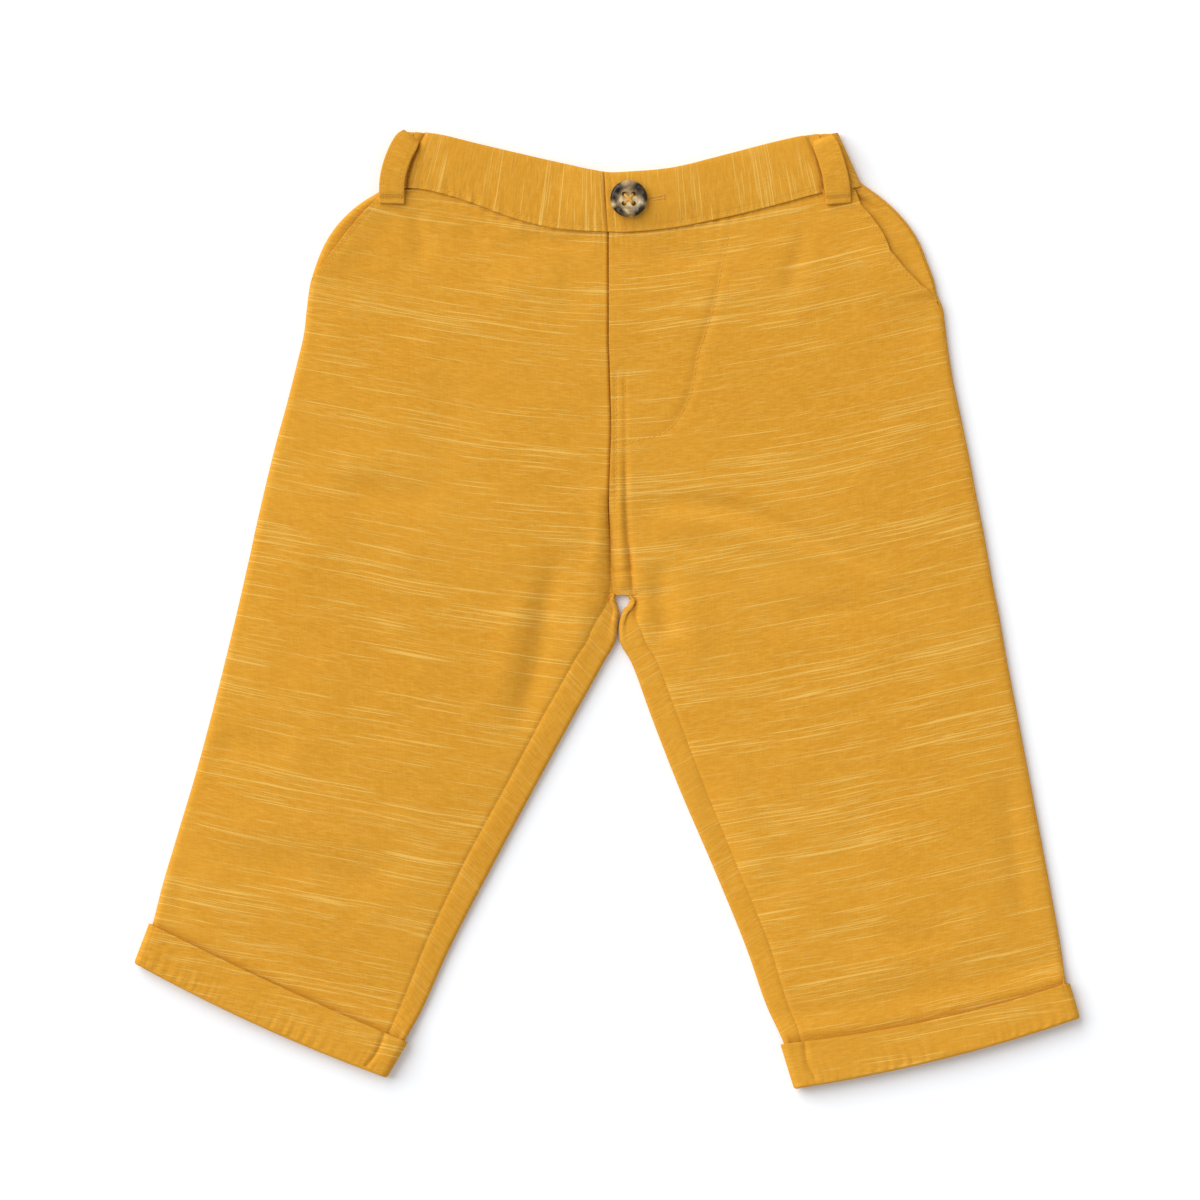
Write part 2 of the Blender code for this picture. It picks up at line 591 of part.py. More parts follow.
def cuff_band(side, context):
    """The turn-up: a flattened ring carried down to its fold and turned inside,
    where the wall of the leg meets it."""
    cuff = CUFFS[side]
    middle = PLY / 2 + CUFF_RADIUS
    front = np.linspace(0.0, 1.0, CUFF_FRONT_STEPS)
    arc = np.radians(np.linspace(90.0, -90.0, CUFF_BACK_STEPS)[1:-1])
    back = np.linspace(1.0, 0.0, CUFF_BACK_STEPS)
    ring = [(across, 0.0, 1.0) for across in front]
    ring += [(1.0, math.cos(angle), math.sin(angle)) for angle in arc]
    ring += [(across, 0.0, -1.0) for across in back]
    ring += [(0.0, -math.cos(angle), -math.sin(angle)) for angle in arc]
    ring = np.array(ring)
    profile = [(fraction, 0.0, CUFF_RADIUS) for fraction in CUFF_PROFILE]
    for angle in np.radians(CUFF_TURN_ANGLES):
        profile.append((1.0, CUFF_TURN * math.sin(angle),
                        CUFF_RADIUS - CUFF_TURN * (1.0 - math.cos(angle))))
    rows = []
    for fraction, below, radius in profile:
        top, end, down = cuff_edges(cuff, ring[:, 0])
        end = end - down * (CUFF_TURN + PLY / 2)
        plan = top + (end - top) * fraction + down * below
        side_way = unit((np.array(cuff.inner_top) - cuff.outer_top) * (1 - fraction)
                        + (np.array(cuff.inner_end) - cuff.outer_end) * fraction)
        inset = middle * (1.0 - 2.0 * ring[:, 0])
        plan = plan + side_way * (inset + ring[:, 1] * radius)[:, None]
        rows.append(np.column_stack([plan, middle + ring[:, 2] * radius]))
    grid = np.stack(rows, axis=0)
    return sheet("cuff_%s" % side, grid, PLY, context, closed=True)


def button(context):
    """A turned disc with a rounded rim and a shallow dish, and four sewing holes."""
    base = BAND_LEVEL + BAND_LAP_RAISE + BAND_PLY / 2 + BAND_CROWN + GAP
    mesh = bpy.data.meshes.new("button")
    points = [(ring.reach * MM, 0.0, ring.height * MM) for ring in BUTTON_RINGS]
    edges = [(index, index + 1) for index in range(len(points) - 1)]
    mesh.from_pydata(points, edges, [])
    mesh.materials.append(context["horn"])
    obj = bpy.data.objects.new("button", mesh)
    context["collection"].objects.link(obj)
    obj.parent = context["parent"]
    obj.location = (BUTTON_PLACE[0] * MM, BUTTON_PLACE[1] * MM, base * MM)
    screw = obj.modifiers.new("turned", "SCREW")
    screw.angle = 2 * math.pi
    screw.steps = BUTTON_STEPS
    screw.render_steps = BUTTON_STEPS
    screw.use_merge_vertices = True
    screw.merge_threshold = 0.00001
    for number in range(4):
        turn = math.radians(45 + 90 * number)
        reach = BUTTON_HOLE_SPACE / math.sqrt(2)
        place = Vector((math.cos(turn) * reach, math.sin(turn) * reach, 1.0)) * MM
        bpy.ops.mesh.primitive_cylinder_add(
            vertices=BUTTON_HOLE_SIDES, radius=BUTTON_HOLE / 2 * MM,
            depth=BUTTON_CUT_DEPTH * MM, location=obj.location + place)
        cutter = bpy.context.object
        cutter.name = "sewing_hole_%d" % (number + 1)
        for owner in list(cutter.users_collection):
            owner.objects.unlink(cutter)
        context["cutters"].objects.link(cutter)
        cutter.hide_render = True
        cutter.display_type = "WIRE"
        cut = obj.modifiers.new("sewing hole", "BOOLEAN")
        cut.operation = "DIFFERENCE"
        cut.object = cutter
    return obj


def make_material(name, colour, roughness):
    material = bpy.data.materials.new(name)
    material.use_nodes = True
    material.diffuse_color = colour
    shader = material.node_tree.nodes["Principled BSDF"]
    shader.inputs["Base Color"].default_value = colour
    shader.inputs["Roughness"].default_value = roughness
    shader.inputs["Metallic"].default_value = 0.0
    return material


def main():
    for obj in list(bpy.data.objects):
        bpy.data.objects.remove(obj, do_unlink=True)
    collection = bpy.data.collections.new("linen_trousers")
    cutters = bpy.data.collections.new("cutters")
    bpy.context.scene.collection.children.link(collection)
    bpy.context.scene.collection.children.link(cutters)
    parent = bpy.data.objects.new("trousers", None)
    collection.objects.link(parent)
    context = {
        "collection": collection,
        "cutters": cutters,
        "parent": parent,
        "linen": make_material("slub linen", LINEN_COLOUR, 0.9),
        "horn": make_material("horn-look resin", BUTTON_COLOUR, 0.3),
    }
    for side, rows in (("right", RIGHT_ROWS), ("left", LEFT_ROWS)):
        leg = Leg(side, rows)
        front_panel(leg, context)
        back_panel(leg, context)
        pocket_facing(leg, context)
        front_band(side, context)
        belt_loop(side, context)
        cuff_band(side, context)
    back_band(context)
    button(context)


main()
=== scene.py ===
"""Looks of the baby trousers in mustard slub linen, laid flat on their back.

Tables and sizes are in millimetres, meshes in metres. Every piece of cloth is
a grid of mid-wall points, worked out from the same sizes as its solid, with a
few more rows in its outline beside the crotch and at the left hip. A UV map
called "cloth" holds the flat cloth's own metres: the weft runs along U and the
warp along V. Right and left are the wearer's.
"""
import math
from collections import namedtuple

import bpy
import numpy as np
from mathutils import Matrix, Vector
from mathutils.bvhtree import BVHTree


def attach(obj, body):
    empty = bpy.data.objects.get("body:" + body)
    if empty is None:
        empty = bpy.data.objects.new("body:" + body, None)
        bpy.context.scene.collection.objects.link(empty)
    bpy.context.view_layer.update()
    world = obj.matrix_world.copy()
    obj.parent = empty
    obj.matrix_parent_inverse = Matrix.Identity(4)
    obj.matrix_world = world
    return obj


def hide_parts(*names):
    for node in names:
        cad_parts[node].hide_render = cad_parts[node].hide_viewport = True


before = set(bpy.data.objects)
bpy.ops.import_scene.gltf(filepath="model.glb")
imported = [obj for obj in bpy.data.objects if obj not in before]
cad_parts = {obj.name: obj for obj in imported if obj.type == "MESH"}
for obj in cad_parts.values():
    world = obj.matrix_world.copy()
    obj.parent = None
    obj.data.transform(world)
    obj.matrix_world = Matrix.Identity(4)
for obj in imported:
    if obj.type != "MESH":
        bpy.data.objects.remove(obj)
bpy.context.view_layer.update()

MM = 0.001
UP = np.array([0.0, 0.0, 1.0])

# ---- sizes (mm), as in the solids ----
PLY = 1.0                # the shown cloth, a little thinner than the solids' wall
SOLID_PLY = 1.1
BAND_PLY = 1.8
LOOP_PLY = 1.3
GAP = 0.3
FOLD_RADIUS = 1.3
BAND_RADIUS = 1.5
LEG_RISE = 1.9
LEG_REACH = 45.0         # above the crotch, the body's pillow turns into the legs' over this
TURN_REACH = 4.0         # below the crotch, the inner bend grows to its full size over this
FLATTEN_REACH = 25.0     # above the cuff, the pillow sinks over this
WAIST_RISE = 0.45
WAIST_REACH = 40.0       # below the waist, the pillow grows to its full height over this
WAIST_FADE = 45.0        # and the bow of the waist seam is gone after this
FACING_UNDERLAP = 3.0
FACING_SINK = 0.45
FACING_MARGIN = 4.0      # the facing's flat piece is longer and wider by this
FACING_LEAST = 10.5      # least width of that flat piece
LAP_RAISE = 0.25
LAP_DIP = 0.15
LAP_DROP = 1.15          # the right front drops this far just before the left one's edge
LAP_RUN = 0.9            # and this is the drop's run
LAP_WIDTH = 7.0
LEAST_INSEAM = 2.4
INSEAM_START = 2.2       # below the crotch, the inseam comes to its place over this
FRONT_LOWEST = 2.1       # mid-wall of the front, even in its deepest troughs
FRONT_AT_BACK = 1.75     # mid-wall of the front where it lies on the back
UNDERLAP = 2.6           # pieces run this far in under the waistband
CENTRE_UNDERLAP = 1.6    # the right front runs on under the left one
SIDE_SEAM = {"right": 4.0, "left": 58.0}    # degrees up the bend of the outer edge
POCKET_RAISE = 1.35      # how far the pocket's open edge lifts, over POCKET_REACH
POCKET_REACH = 10.0
POCKET_BLEND = 3.0       # a pocket is open in full where it shows this much facing
CUFF_RADIUS = 2.7
CUFF_TURN = 0.7
CUFF_CLEARANCE = 1.4
CUFF_STAND = 1.4
CUFF_RAMP = 9.0
CUFF_LEVEL = 2.5
CUFF_DIP = 1.0           # the leg's front sinks this far where the cuff opens
CUFF_DIP_REACH = 2.2
CUFF_INSEAM = (7.0, 6.0) # the inseam's place at the cuff's top edge and at its fold
CUFF_SHOWN = 17.0
CUFF_CUT = 24.0          # with what is turned in
CUFF_WIDTH = 120.0       # rough length of a front, for its gathers

# ---- each piece's flat size (mm), where it isn't measured on the piece ----
FRONT_FLAT = (152.0, 362.0)
BACK_FLAT = (188.0, 364.0)
BAND_FLAT = 25.0
BAND_ENDS = 2.0
BAND_FULLNESS = 1.25     # length of the back waistband over its gathered length
LOOP_ENDS = 2.0
LOOP_EDGES = 0.5
CUFF_JOIN = 3.0

# ---- fineness of the cloth's grids ----
ROW_STEP = 1.8
CROTCH_STEP = 0.7
CROTCH_ROWS = (-2.0, 22.0)       # CROTCH_STEP holds where the inner edge's y is in this range
FRONT_INNER = np.linspace(0.0, 0.1, 30)
FRONT_OUTER = np.linspace(0.11, 1.0, 84)
FACING_COLUMNS = 26
BACK_COLUMNS = 22
ARC_STEPS = 10
STRIP_COLUMNS = 9
BAND_DOWN = np.linspace(0.0, 1.0, 26)
BACK_BAND_DOWN = np.linspace(0.0, 1.0, 20)
LOOP_ROWS = 60
LOOP_COLUMNS = 19
CUFF_COLUMNS = 150
CUFF_BACK_COLUMNS = 40
CUFF_ROWS = 17
CUFF_ARC = 15
CUFF_TURN_ANGLES = np.linspace(15.0, 180.0, 12)
BUTTON_STEPS = 96

# ---- finish of the cloth (mm) ----
SEAM_PRESS = 0.42        # how deep a pressed seam lies
SEAM_PRESS_WIDTH = 1.0
PUCKER_LENGTH = 5.3      # from one pucker to the next along a sewn seam
PUCKER_SWELL = 11.0
PUCKER_LIFT = 0.15
PUCKER_REACH = 5.0
# Slow swells: a height, the seed of their draw and the longest wave.
SWELL_WAVES = 7
FRONT_SWELLS = ((0.30, 5, 46.0), (0.12, 8, 17.0))
FACING_SWELLS = ((0.16, 12, 15.0),)
CUFF_SWELLS = ((0.16, 61, 24.0), (0.07, 64, 9.0))
BAND_SWELLS = {"right": ((0.20, 41, 34.0), (0.10, 42, 11.0)),
               "left": ((0.20, 51, 34.0), (0.10, 52, 11.0))}
LOOP_SWELLS = {"right": ((0.16, 91, 12.0),), "left": ((0.16, 95, 12.0),)}
# Seeds of the puckers, so that each seam gathers in its own way.
INSEAM_SEED, WAIST_SEED, SIDE_SEED, FACING_SEED = 11, 23, 31, 13
BAND_SEED = {"right": 43, "left": 53}
TOPSTITCH_SEED, CUFF_EDGE_SEED, CUFF_SEAM_SEED = 70, 67, 69

# ---- tables of the garment as it lies (mm) ----
# Rows of a leg from the waist seam to the cuff: its outer and its inner edge in plan, how
# far the inseam lies from the inner edge, and how much facing shows beside the pocket.
Row = namedtuple("Row", "outer_x outer_y inner_x inner_y inseam pocket")
RIGHT_ROWS = [
    Row(-91.8, 166.6, 0.4, 150.6, 0, 1.5),
    Row(-99.4, 161.8, 0.4, 143.0, 0, 4.0),
    Row(-106.4, 155.4, 0.4, 135.0, 0, 5.3),
    Row(-112.4, 147.0, 0.4, 126.2, 0, 4.7),
    Row(-116.2, 138.2, 0.4, 117.0, 0, 2.4),
    Row(-118.8, 129.4, 0.4, 107.8, 0, 0),
    Row(-120.0, 120.6, 0.7, 99.0, 0, 0),
    Row(-121.2, 110.2, 1.0, 87.8, 0, 0),
    Row(-124.2, 97.4, 1.4, 74.2, 0, 0),
    Row(-127.8, 83.0, 0.9, 59.0, 0, 0),
    Row(-132.0, 67.8, 0.5, 42.6, 0, 0),
    Row(-135.8, 52.6, 1.0, 27.0, 0, 0),
    Row(-138.6, 40.6, 1.5, 15.0, 0, 0),
    Row(-140.4, 32.8, 2.7, 6.2, 2.2, 0),
    Row(-141.6, 27.2, 4.0, 2.4, 4.4, 0),
    Row(-142.6, 22.4, 4.9, -1.2, 6.6, 0),
    Row(-143.8, 17.2, 4.3, -6.0, 8.8, 0),
    Row(-145.0, 11.8, 3.9, -11.0, 10.8, 0),
    Row(-147.2, 2.2, -1.4, -21.4, 11.3, 0),
    Row(-151.6, -16.2, -13.2, -42.6, 11.3, 0),
    Row(-157.6, -40.2, -29.2, -71.8, 10.8, 0),
    Row(-164.6, -66.2, -46.2, -103.4, 10.9, 0),
    Row(-173.0, -94.2, -63.2, -136.2, 9.5, 0),
    Row(-178.6, -113.4, -74.4, -161.0, 8.5, 0),
]
LEFT_ROWS = [
    Row(103.2, 169.4, 0.8, 151.0, 0, 4.2),
    Row(109.8, 164.6, 0.8, 143.0, 0, 8.8),
    Row(115.2, 159.8, 0.8, 135.0, 0, 9.8),
    Row(120.8, 153.4, 0.8, 126.2, 0, 10.9),
    Row(125.0, 146.6, 0.8, 117.0, 0, 12.3),
    Row(128.0, 139.0, 0.8, 107.8, 0, 9.5),
    Row(130.8, 131.4, 1.1, 99.0, 0, 5.8),
    Row(132.0, 126.0, 1.2, 93.4, 0, 1.0),
    Row(134.2, 120.8, 1.4, 87.8, 0, 0),
    Row(135.0, 115.0, 1.6, 81.4, 0, 0),
    Row(136.0, 107.0, 1.8, 74.2, 0, 0),
    Row(138.2, 92.6, 1.3, 59.0, 0, 0),
    Row(141.4, 77.4, 0.9, 42.6, 0, 0),
    Row(144.4, 63.0, 1.4, 27.0, 0, 0),
    Row(146.4, 52.6, 2.0, 15.0, 0, 0),
    Row(147.8, 45.0, 3.0, 5.7, 0, 0),
    Row(149.4, 37.0, 7.0, 6.0, 0, 0),
    Row(150.0, 34.2, 8.7, 5.6, 0.4, 0),
    Row(150.6, 31.0, 9.0, 4.0, 1.3, 0),
    Row(151.2, 27.6, 8.4, 2.2, 2.6, 0),
    Row(151.9, 23.8, 6.4, -0.2, 4.8, 0),
    Row(152.8, 18.6, 5.2, -3.4, 6.4, 0),
    Row(153.6, 13.8, 4.6, -7.0, 8.0, 0),
    Row(154.6, 8.6, 4.8, -11.6, 9.7, 0),
    Row(156.4, -0.2, 9.8, -21.4, 9.9, 0),
    Row(159.6, -18.6, 17.6, -42.6, 10.2, 0),
    Row(164.8, -45.8, 29.0, -71.8, 9.9, 0),
    Row(170.6, -76.2, 42.6, -103.4, 9.2, 0),
    Row(177.2, -111.4, 56.0, -136.2, 9.2, 0),
    Row(181.2, -133.4, 63.6, -158.0, 8.4, 0),
]

# The waistband's top edge and waist seam, from the wearer's right to the left.
Band = namedtuple("Band", "top_x top_y seam_x seam_y")
BAND_ROWS = [
    Band(-81.2, 190.8, -90.8, 167.8),
    Band(-68.0, 189.8, -74.4, 168.0),
    Band(-52.8, 186.2, -57.2, 163.6),
    Band(-34.8, 182.0, -38.0, 156.6),
    Band(-18.0, 178.2, -20.8, 152.4),
    Band(-1.4, 174.8, 0.0, 151.0),
    Band(10.0, 174.9, 10.4, 151.0),
    Band(26.8, 176.6, 28.0, 152.8),
    Band(46.4, 181.4, 49.6, 157.2),
    Band(64.8, 186.2, 69.6, 162.2),
    Band(79.6, 189.4, 85.8, 166.5),
    Band(92.4, 190.2, 102.0, 169.0),
]
# Places in that table: both side seams, the right half's end and the left half's edge.
BAND_SIDE_RIGHT = 0.31
BAND_SIDE_LEFT = 10.42
BAND_LAP_END = 6.5
BAND_LAP_EDGE = 5.03
BAND_LEVEL = BAND_PLY / 2 + 2 * BAND_RADIUS
BAND_LAP_RAISE = 1.2
BAND_LAP_DIP = 0.9       # the right half rises by this before it dives twice as far
BAND_CROWN = 0.25
BAND_STITCH = 1.7        # the topstitching runs this far above the seam
BAND_HEIGHT = 24.0
BAND_JOIN = 0.03         # table rows between the front band and the side seam
BAND_DIVE = 0.10         # and those over which the right half dives

# Each cuff's corners at its top edge and at its fold, and how far both sag between them.
Cuff = namedtuple("Cuff", "outer_top inner_top outer_end inner_end top_sag end_sag")
CUFFS = {
    "right": Cuff((-183.0, -125.4), (-79.6, -173.0), (-189.2, -141.4), (-88.0, -187.4), 1.0, 2.0),
    "left": Cuff((185.0, -149.4), (69.3, -173.9), (189.2, -163.4), (74.8, -191.8), 3.0, 2.5),
}
# The inseam's line across each cuff.
CUFF_SEAMS = {
    "right": [(-88.6, -168.6), (-92.0, -177.0), (-97.6, -183.8)],
    "left": [(78.7, -171.6), (80.0, -181.0), (82.8, -187.0)],
}

# The middle line of each belt loop, from its top end.
LOOP_LINES = {
    "right": [(-78.2, 189.2), (-80.6, 186.0), (-83.7, 179.6), (-85.6, 172.6), (-86.0, 162.2)],
    "left": [(86.2, 188.4), (89.4, 179.8), (91.8, 170.2), (92.6, 162.2)],
}
LOOP_WIDTH = 10.0
LOOP_STAND = 1.5

BUTTON_PLACE = (8.7, 164.0)
BUTTON_BASE = 6.65       # height of its underside
# Short troughs in the waistband, beside each belt loop.
BAND_TRENCHES = {
    "right": [(-72.6, 190.5), (-76.4, 183.0), (-79.4, 175.0), (-80.6, 164.0)],
    "left": [(80.6, 188.0), (85.4, 177.0), (86.8, 166.0)],
}
BUTTONHOLE = [(14.8, 163.5), (22.4, 164.8)]
BUTTON_HOLE = 1.9
BUTTON_HOLE_SPACE = 3.8

# Folds of the cloth as it lies: a line in plan, how wide it is on each side,
# and how far it lifts (+) or sinks (-) the cloth at its middle. Those of FOLDS are
# FOLD_DEPTH times as deep, and fade where they come near an edge.
Fold = namedtuple("Fold", "line width lift")
FOLDS = [
    # right leg, inner thigh
    Fold([(-17, 30), (-24, 4), (-27, -16), (-31, -32), (-38, -56)], 5.5, -0.95),
    Fold([(-3, 34), (-6, 14), (-11, -8), (-16, -24)], 5.0, 0.55),
    Fold([(-33, 12), (-38, -12), (-44, -38)], 6.0, 0.40),
    # right leg, outer side
    Fold([(-112, 48), (-86, 45), (-62, 45)], 7.0, -0.50),
    Fold([(-110, 60), (-88, 58), (-66, 57)], 7.0, 0.28),
    Fold([(-164, -52), (-145, -54), (-122, -58)], 7.0, -0.50),
    Fold([(-164, -94), (-125, -103), (-74, -110)], 7.5, -0.55),
    Fold([(-150, -82), (-118, -88), (-84, -96)], 7.0, 0.30),
    Fold([(-174, -106), (-172, -118), (-171, -130)], 3.5, -0.45),
    Fold([(-120, 20), (-100, 0), (-84, -26)], 9.0, -0.28),
    Fold([(-60, 100), (-64, 70), (-72, 44)], 10.0, -0.25),
    # right hip
    Fold([(-77, 163), (-75, 150), (-73, 136)], 3.5, -0.45),
    Fold([(-40, 150), (-22, 147), (-2, 146)], 4.0, -0.42),
    Fold([(-46, 134), (-30, 132), (-14, 132)], 8.0, 0.40),
    Fold([(-58, 158), (-52, 144), (-50, 128)], 5.0, -0.25),
    # left leg, the drag line from the crotch
    Fold([(9, 42), (33, 42.5), (53, 39), (73, 32), (93, 23), (114, 14)], 4.2, -0.95),
    Fold([(12, 33), (33, 35), (53, 31), (73, 23.5), (93, 14)], 5.0, 0.60),
    Fold([(66, -3), (98, 1), (136, 5)], 7.0, -0.50),
    Fold([(70, 10), (100, 6), (130, -8)], 7.0, 0.28),
    # left leg, inner thigh
    Fold([(21, 22), (22, 2), (25, -16)], 5.0, -0.85),
    Fold([(33, 14), (34, -8), (38, -30)], 6.0, 0.35),
    Fold([(34, -60), (43, -88), (54, -114)], 5.0, -0.55),
    Fold([(47, -58), (56, -86), (66, -112)], 6.0, 0.28),
    Fold([(159, -60), (163, -96), (168, -132)], 5.0, -0.45),
    Fold([(120, -60), (104, -84), (92, -112)], 9.0, -0.26),
    Fold([(84, -128), (112, -132), (146, -128)], 6.0, -0.32),
    # left hip
    Fold([(80, 156), (75, 137), (71, 122)], 4.0, -0.45),
    Fold([(12, 143), (30, 141), (48, 143)], 4.5, -0.40),
    Fold([(48.5, 150), (46, 138), (41.5, 118), (36, 101), (33, 86), (24, 72), (13, 68)], 1.6, -0.22),
    Fold([(99.5, 166), (104, 163.5), (110, 160)], 1.6, -0.35),
    Fold([(108, 120), (124, 112), (136, 108)], 6.0, -0.30),
]
FOLD_EDGE = 9.0          # folds and swells fade within this of an edge
FOLD_DEPTH = 1.75
# Folds that run right to an edge: beside the crotch, where the cloth is drawn in.
TRENCHES = [
    Fold([(0.6, 46), (1.5, 28), (2.0, 14), (2.6, 3)], 1.3, -1.9),
    Fold([(-4, 5.5), (4, 4.0), (9, 4.0)], 5.5, -1.1),
    Fold([(-3.2, 50), (-2.6, 28), (-2.2, 4)], 3.6, 1.0),
    Fold([(5.2, 50), (5.6, 26), (6.2, 10)], 2.0, 0.7),
    Fold([(7.4, 62), (7.9, 36), (9.2, 20), (10.4, 8), (11.4, -3)], 1.5, -0.75),
    Fold([(2.0, 36), (4.6, 14), (5.0, -4)], 7.0, -0.8),
]
# Short folds of the left hip piece, below the belt loop.
HIP_FOLDS = [
    Fold([(99, 165), (104.5, 161.5), (112, 157)], 1.3, -1.0),
    Fold([(101, 167.5), (110, 163), (117, 158)], 1.4, 0.5),
    Fold([(100, 161), (106, 150), (112, 141)], 1.6, 0.4),
]
# Rows of topstitching on the left front, in plan: how deep each lies, and its line.
Sewn = namedtuple("Sewn", "depth line")
SEWN_LINES = [
    Sewn(0.7, [(3.6, 93.8), (3.6, 63.8), (3.6, 35.8), (4.0, 22.0), (4.6, 17.0)]),
    Sewn(0.7, [(7.2, 93.0), (7.4, 63.8), (7.6, 35.8), (8.6, 24.0), (9.6, 17.6)]),
    Sewn(0.35, [(48.4, 149.0), (46.0, 137.8), (41.6, 117.8), (36.4, 101.8), (33.2, 85.8),
                (24.4, 71.8), (9.2, 66.8)]),
]
# Pressed seams without topstitching, where the left leg meets the crotch.
CROTCH_SEAMS = [
    [(1.8, 15.2), (6.0, 15.0), (9.8, 15.8)],
    [(9.2, 24.0), (9.8, 15.8), (10.3, 8.0), (10.4, 2.5)],
]
POCKET_STITCH = 1.8
FOLD_REACH = FOLD_RADIUS + SOLID_PLY / 2
FACING_SHOWS = 0.4       # rows with this much facing have one
HIP_REACH = 9.0          # the hip's short folds fade over this
STRIP_TUCK = 0.8         # the back's strip dips this far under the front at the crotch
TUCK_REACH = 3.0
TRENCH_START = 0.8       # trenches are this much shallower at their start
TRENCH_REACH = 6.0
FOLD_TAPER = 0.3         # share of a fold's length over which it fades at each end
GATHER_REACH = 0.62      # way along the gathered waistband for one radian of a wave
EDGE_SOFTNESS = 0.3      # bevel of a cut edge, as a share of the cloth's thickness
DROP_FROM = 50.0         # stitches are dropped onto the cloth from this height

# ---- how each piece lies on the flat cloth ----
WEFT_SLOPE = 0.165
WEFT_LEVEL = 0.125
WEFT_REACH = 42.0
WEFT_TURN = {"right": 1.30, "left": 1.45}
WARP_LEAN = 0.1
LEG_CUT = {"right": (0.0, 0.0), "left": (431.0, 159.47)}
STRIP_WARP = {"right": np.array([0.155, 0.988]), "left": np.array([-0.155, 0.988])}
CUFF_SLANT = {"right": -12.0, "left": 9.0}
# Where each piece is cut from the cloth, so that slubs don't run on from piece to piece.
BOLT = {
    "front_right_panel": (0.0, 0.0), "front_left_panel": (0.0, 0.0),
    "back_right_panel": (1270.0, 640.0), "back_left_panel": (1270.0, 640.0),
    "pocket_facing_right": (77.0, 910.0), "pocket_facing_left": (77.0, 910.0),
    "waistband_right": (300.0, 1500.0), "waistband_left": (300.0, 1900.0),
    "waistband_back": (300.0, 2400.0),
    "belt_loop_right": (3000.0, 700.0), "belt_loop_left": (3000.0, 700.0),
    "cuff_right": (900.0, 2900.0), "cuff_left": (900.0, 3300.0),
}

# ---- colours and patterns ----
LINEN_DARK = "#C68926"
LINEN_MID = "#D0932D"
LINEN_LIGHT = "#D8A039"
LINEN_WARP = "#CA8C29"
LINEN_CLOUD = "#D59B34"
LINEN_SLUB = "#E0B054"
LINEN_SHEEN = "#F5D58C"
THREAD_COLOURS = [(0.1, "#CB8D2C"), (0.8, "#E5B150")]
HORN_COLOURS = [(0.34, "#7B6244"), (0.5, "#AD9368"), (0.66, "#DCC89C")]
HORN_DARK = "#0E0805"
FLOOR_COLOURS = [(0.3, "#F5F7FA"), (0.7, "#F7F9FC")]
WEFT_WANDER = 4.0        # the weft wanders this far, in mm
THREAD_JUMP = 7.31       # in the noise, from one thread to the next
# The thick stretches: mm from thread to thread, mm long, a seed, the noise that shows them
# and how clearly they show.
Slub = namedtuple("Slub", "pitch length seed low high share")
SLUB_LAYERS = [
    Slub(0.44, 60.0, 3.0, 0.665, 0.735, 1.0),
    Slub(0.36, 36.0, 9.0, 0.655, 0.745, 0.8),
    Slub(0.30, 19.0, 13.0, 0.690, 0.780, 0.7),
]
# The button's dark clouds: place from its middle and reach, in mm.
HORN_SPOTS = [(-5.4, 4.4, 4.5), (-7.0, 0.9, 3.6), (5.4, 4.4, 5.0), (7.0, 1.0, 3.6),
              (-4.6, -5.6, 4.0), (4.9, -5.4, 4.3)]
HORN_SPOT_HEIGHT = 9.1   # about the height of the button's face

# ---- stitches (mm) ----
Stitch = namedtuple("Stitch", "pitch length width rise")
TOPSTITCH = Stitch(2.1, 1.5, 0.32, 0.04)
POCKET_TOPSTITCH = Stitch(2.0, 1.45, 0.32, 0.04)
LOOP_TOPSTITCH = Stitch(1.9, 1.35, 0.30, 0.04)
BAR_TACK = Stitch(0.9, 0.95, 0.34, 0.05)
HOLE_STITCH = Stitch(0.8, 0.84, 0.30, 0.10)
HOLE_TACK = Stitch(0.9, 0.95, 0.32, 0.14)
STITCH_RINGS = 5
STITCH_SIDES = 6
POCKET_SEWN = 1.4        # rows with this much facing have stitches on the pocket's edge
LOOP_SEWN = 3.6
LOOP_TACK = 4.2
HOLE_PITCH = 0.36
HOLE_SIDE = 0.62
HOLE_BAR = 0.42
CROSS_THREAD = 0.46
CROSS_LIFT = 1.06        # the button's thread lies this far above the middle of its holes
CROSS_OVER = 0.22        # and its second pair crosses over the first

Ring = namedtuple("Ring", "reach height")
BUTTON_DISH = 1.84
BUTTON_RINGS = [
    Ring(1.4, 1.86), Ring(2.8, 1.9), Ring(3.9, 1.94), Ring(4.5, 2.04), Ring(5.0, 2.34),
    Ring(5.4, 2.62), Ring(5.9, 2.76), Ring(6.4, 2.72), Ring(6.85, 2.48), Ring(7.2, 2.05),
    Ring(7.4, 1.5), Ring(7.36, 1.0), Ring(7.1, 0.6), Ring(6.6, 0.25), Ring(6.0, 0.06),
    Ring(5.2, 0.0),
]

# ---- light and camera (m, but for the pixels) ----
SKY = 0.56
KEY = 3.1
LAMP_PLACE = (-1.05, 0.82, 1.0)
LAMP_SPREAD = 62.0       # degrees across
FLOOR_GAP = 0.0002
CAMERA_HEIGHT = 4.0
FRAME_PIXELS = 1200
PIXEL = 0.4              # mm of the trousers' plane to one pixel
ORIGIN_PIXEL = (607, 609.5)     # the pixel that shows the origin, right and down


# ---------------------------------------------------------------- shape tools
def smoothstep(value):
    """0 below 0 and 1 above 1, with an S-shaped way between."""
    value = np.clip(value, 0.0, 1.0)
    return value * value * (3.0 - 2.0 * value)


def bell(distance, width):
    """1 on a line, and gone a little over its width away: exp(-(distance / width)^2)."""
    return np.exp(-(distance / width) ** 2)


def unit(vectors):
    """Vectors at length 1."""
    return vectors / np.linalg.norm(vectors, axis=-1, keepdims=True)


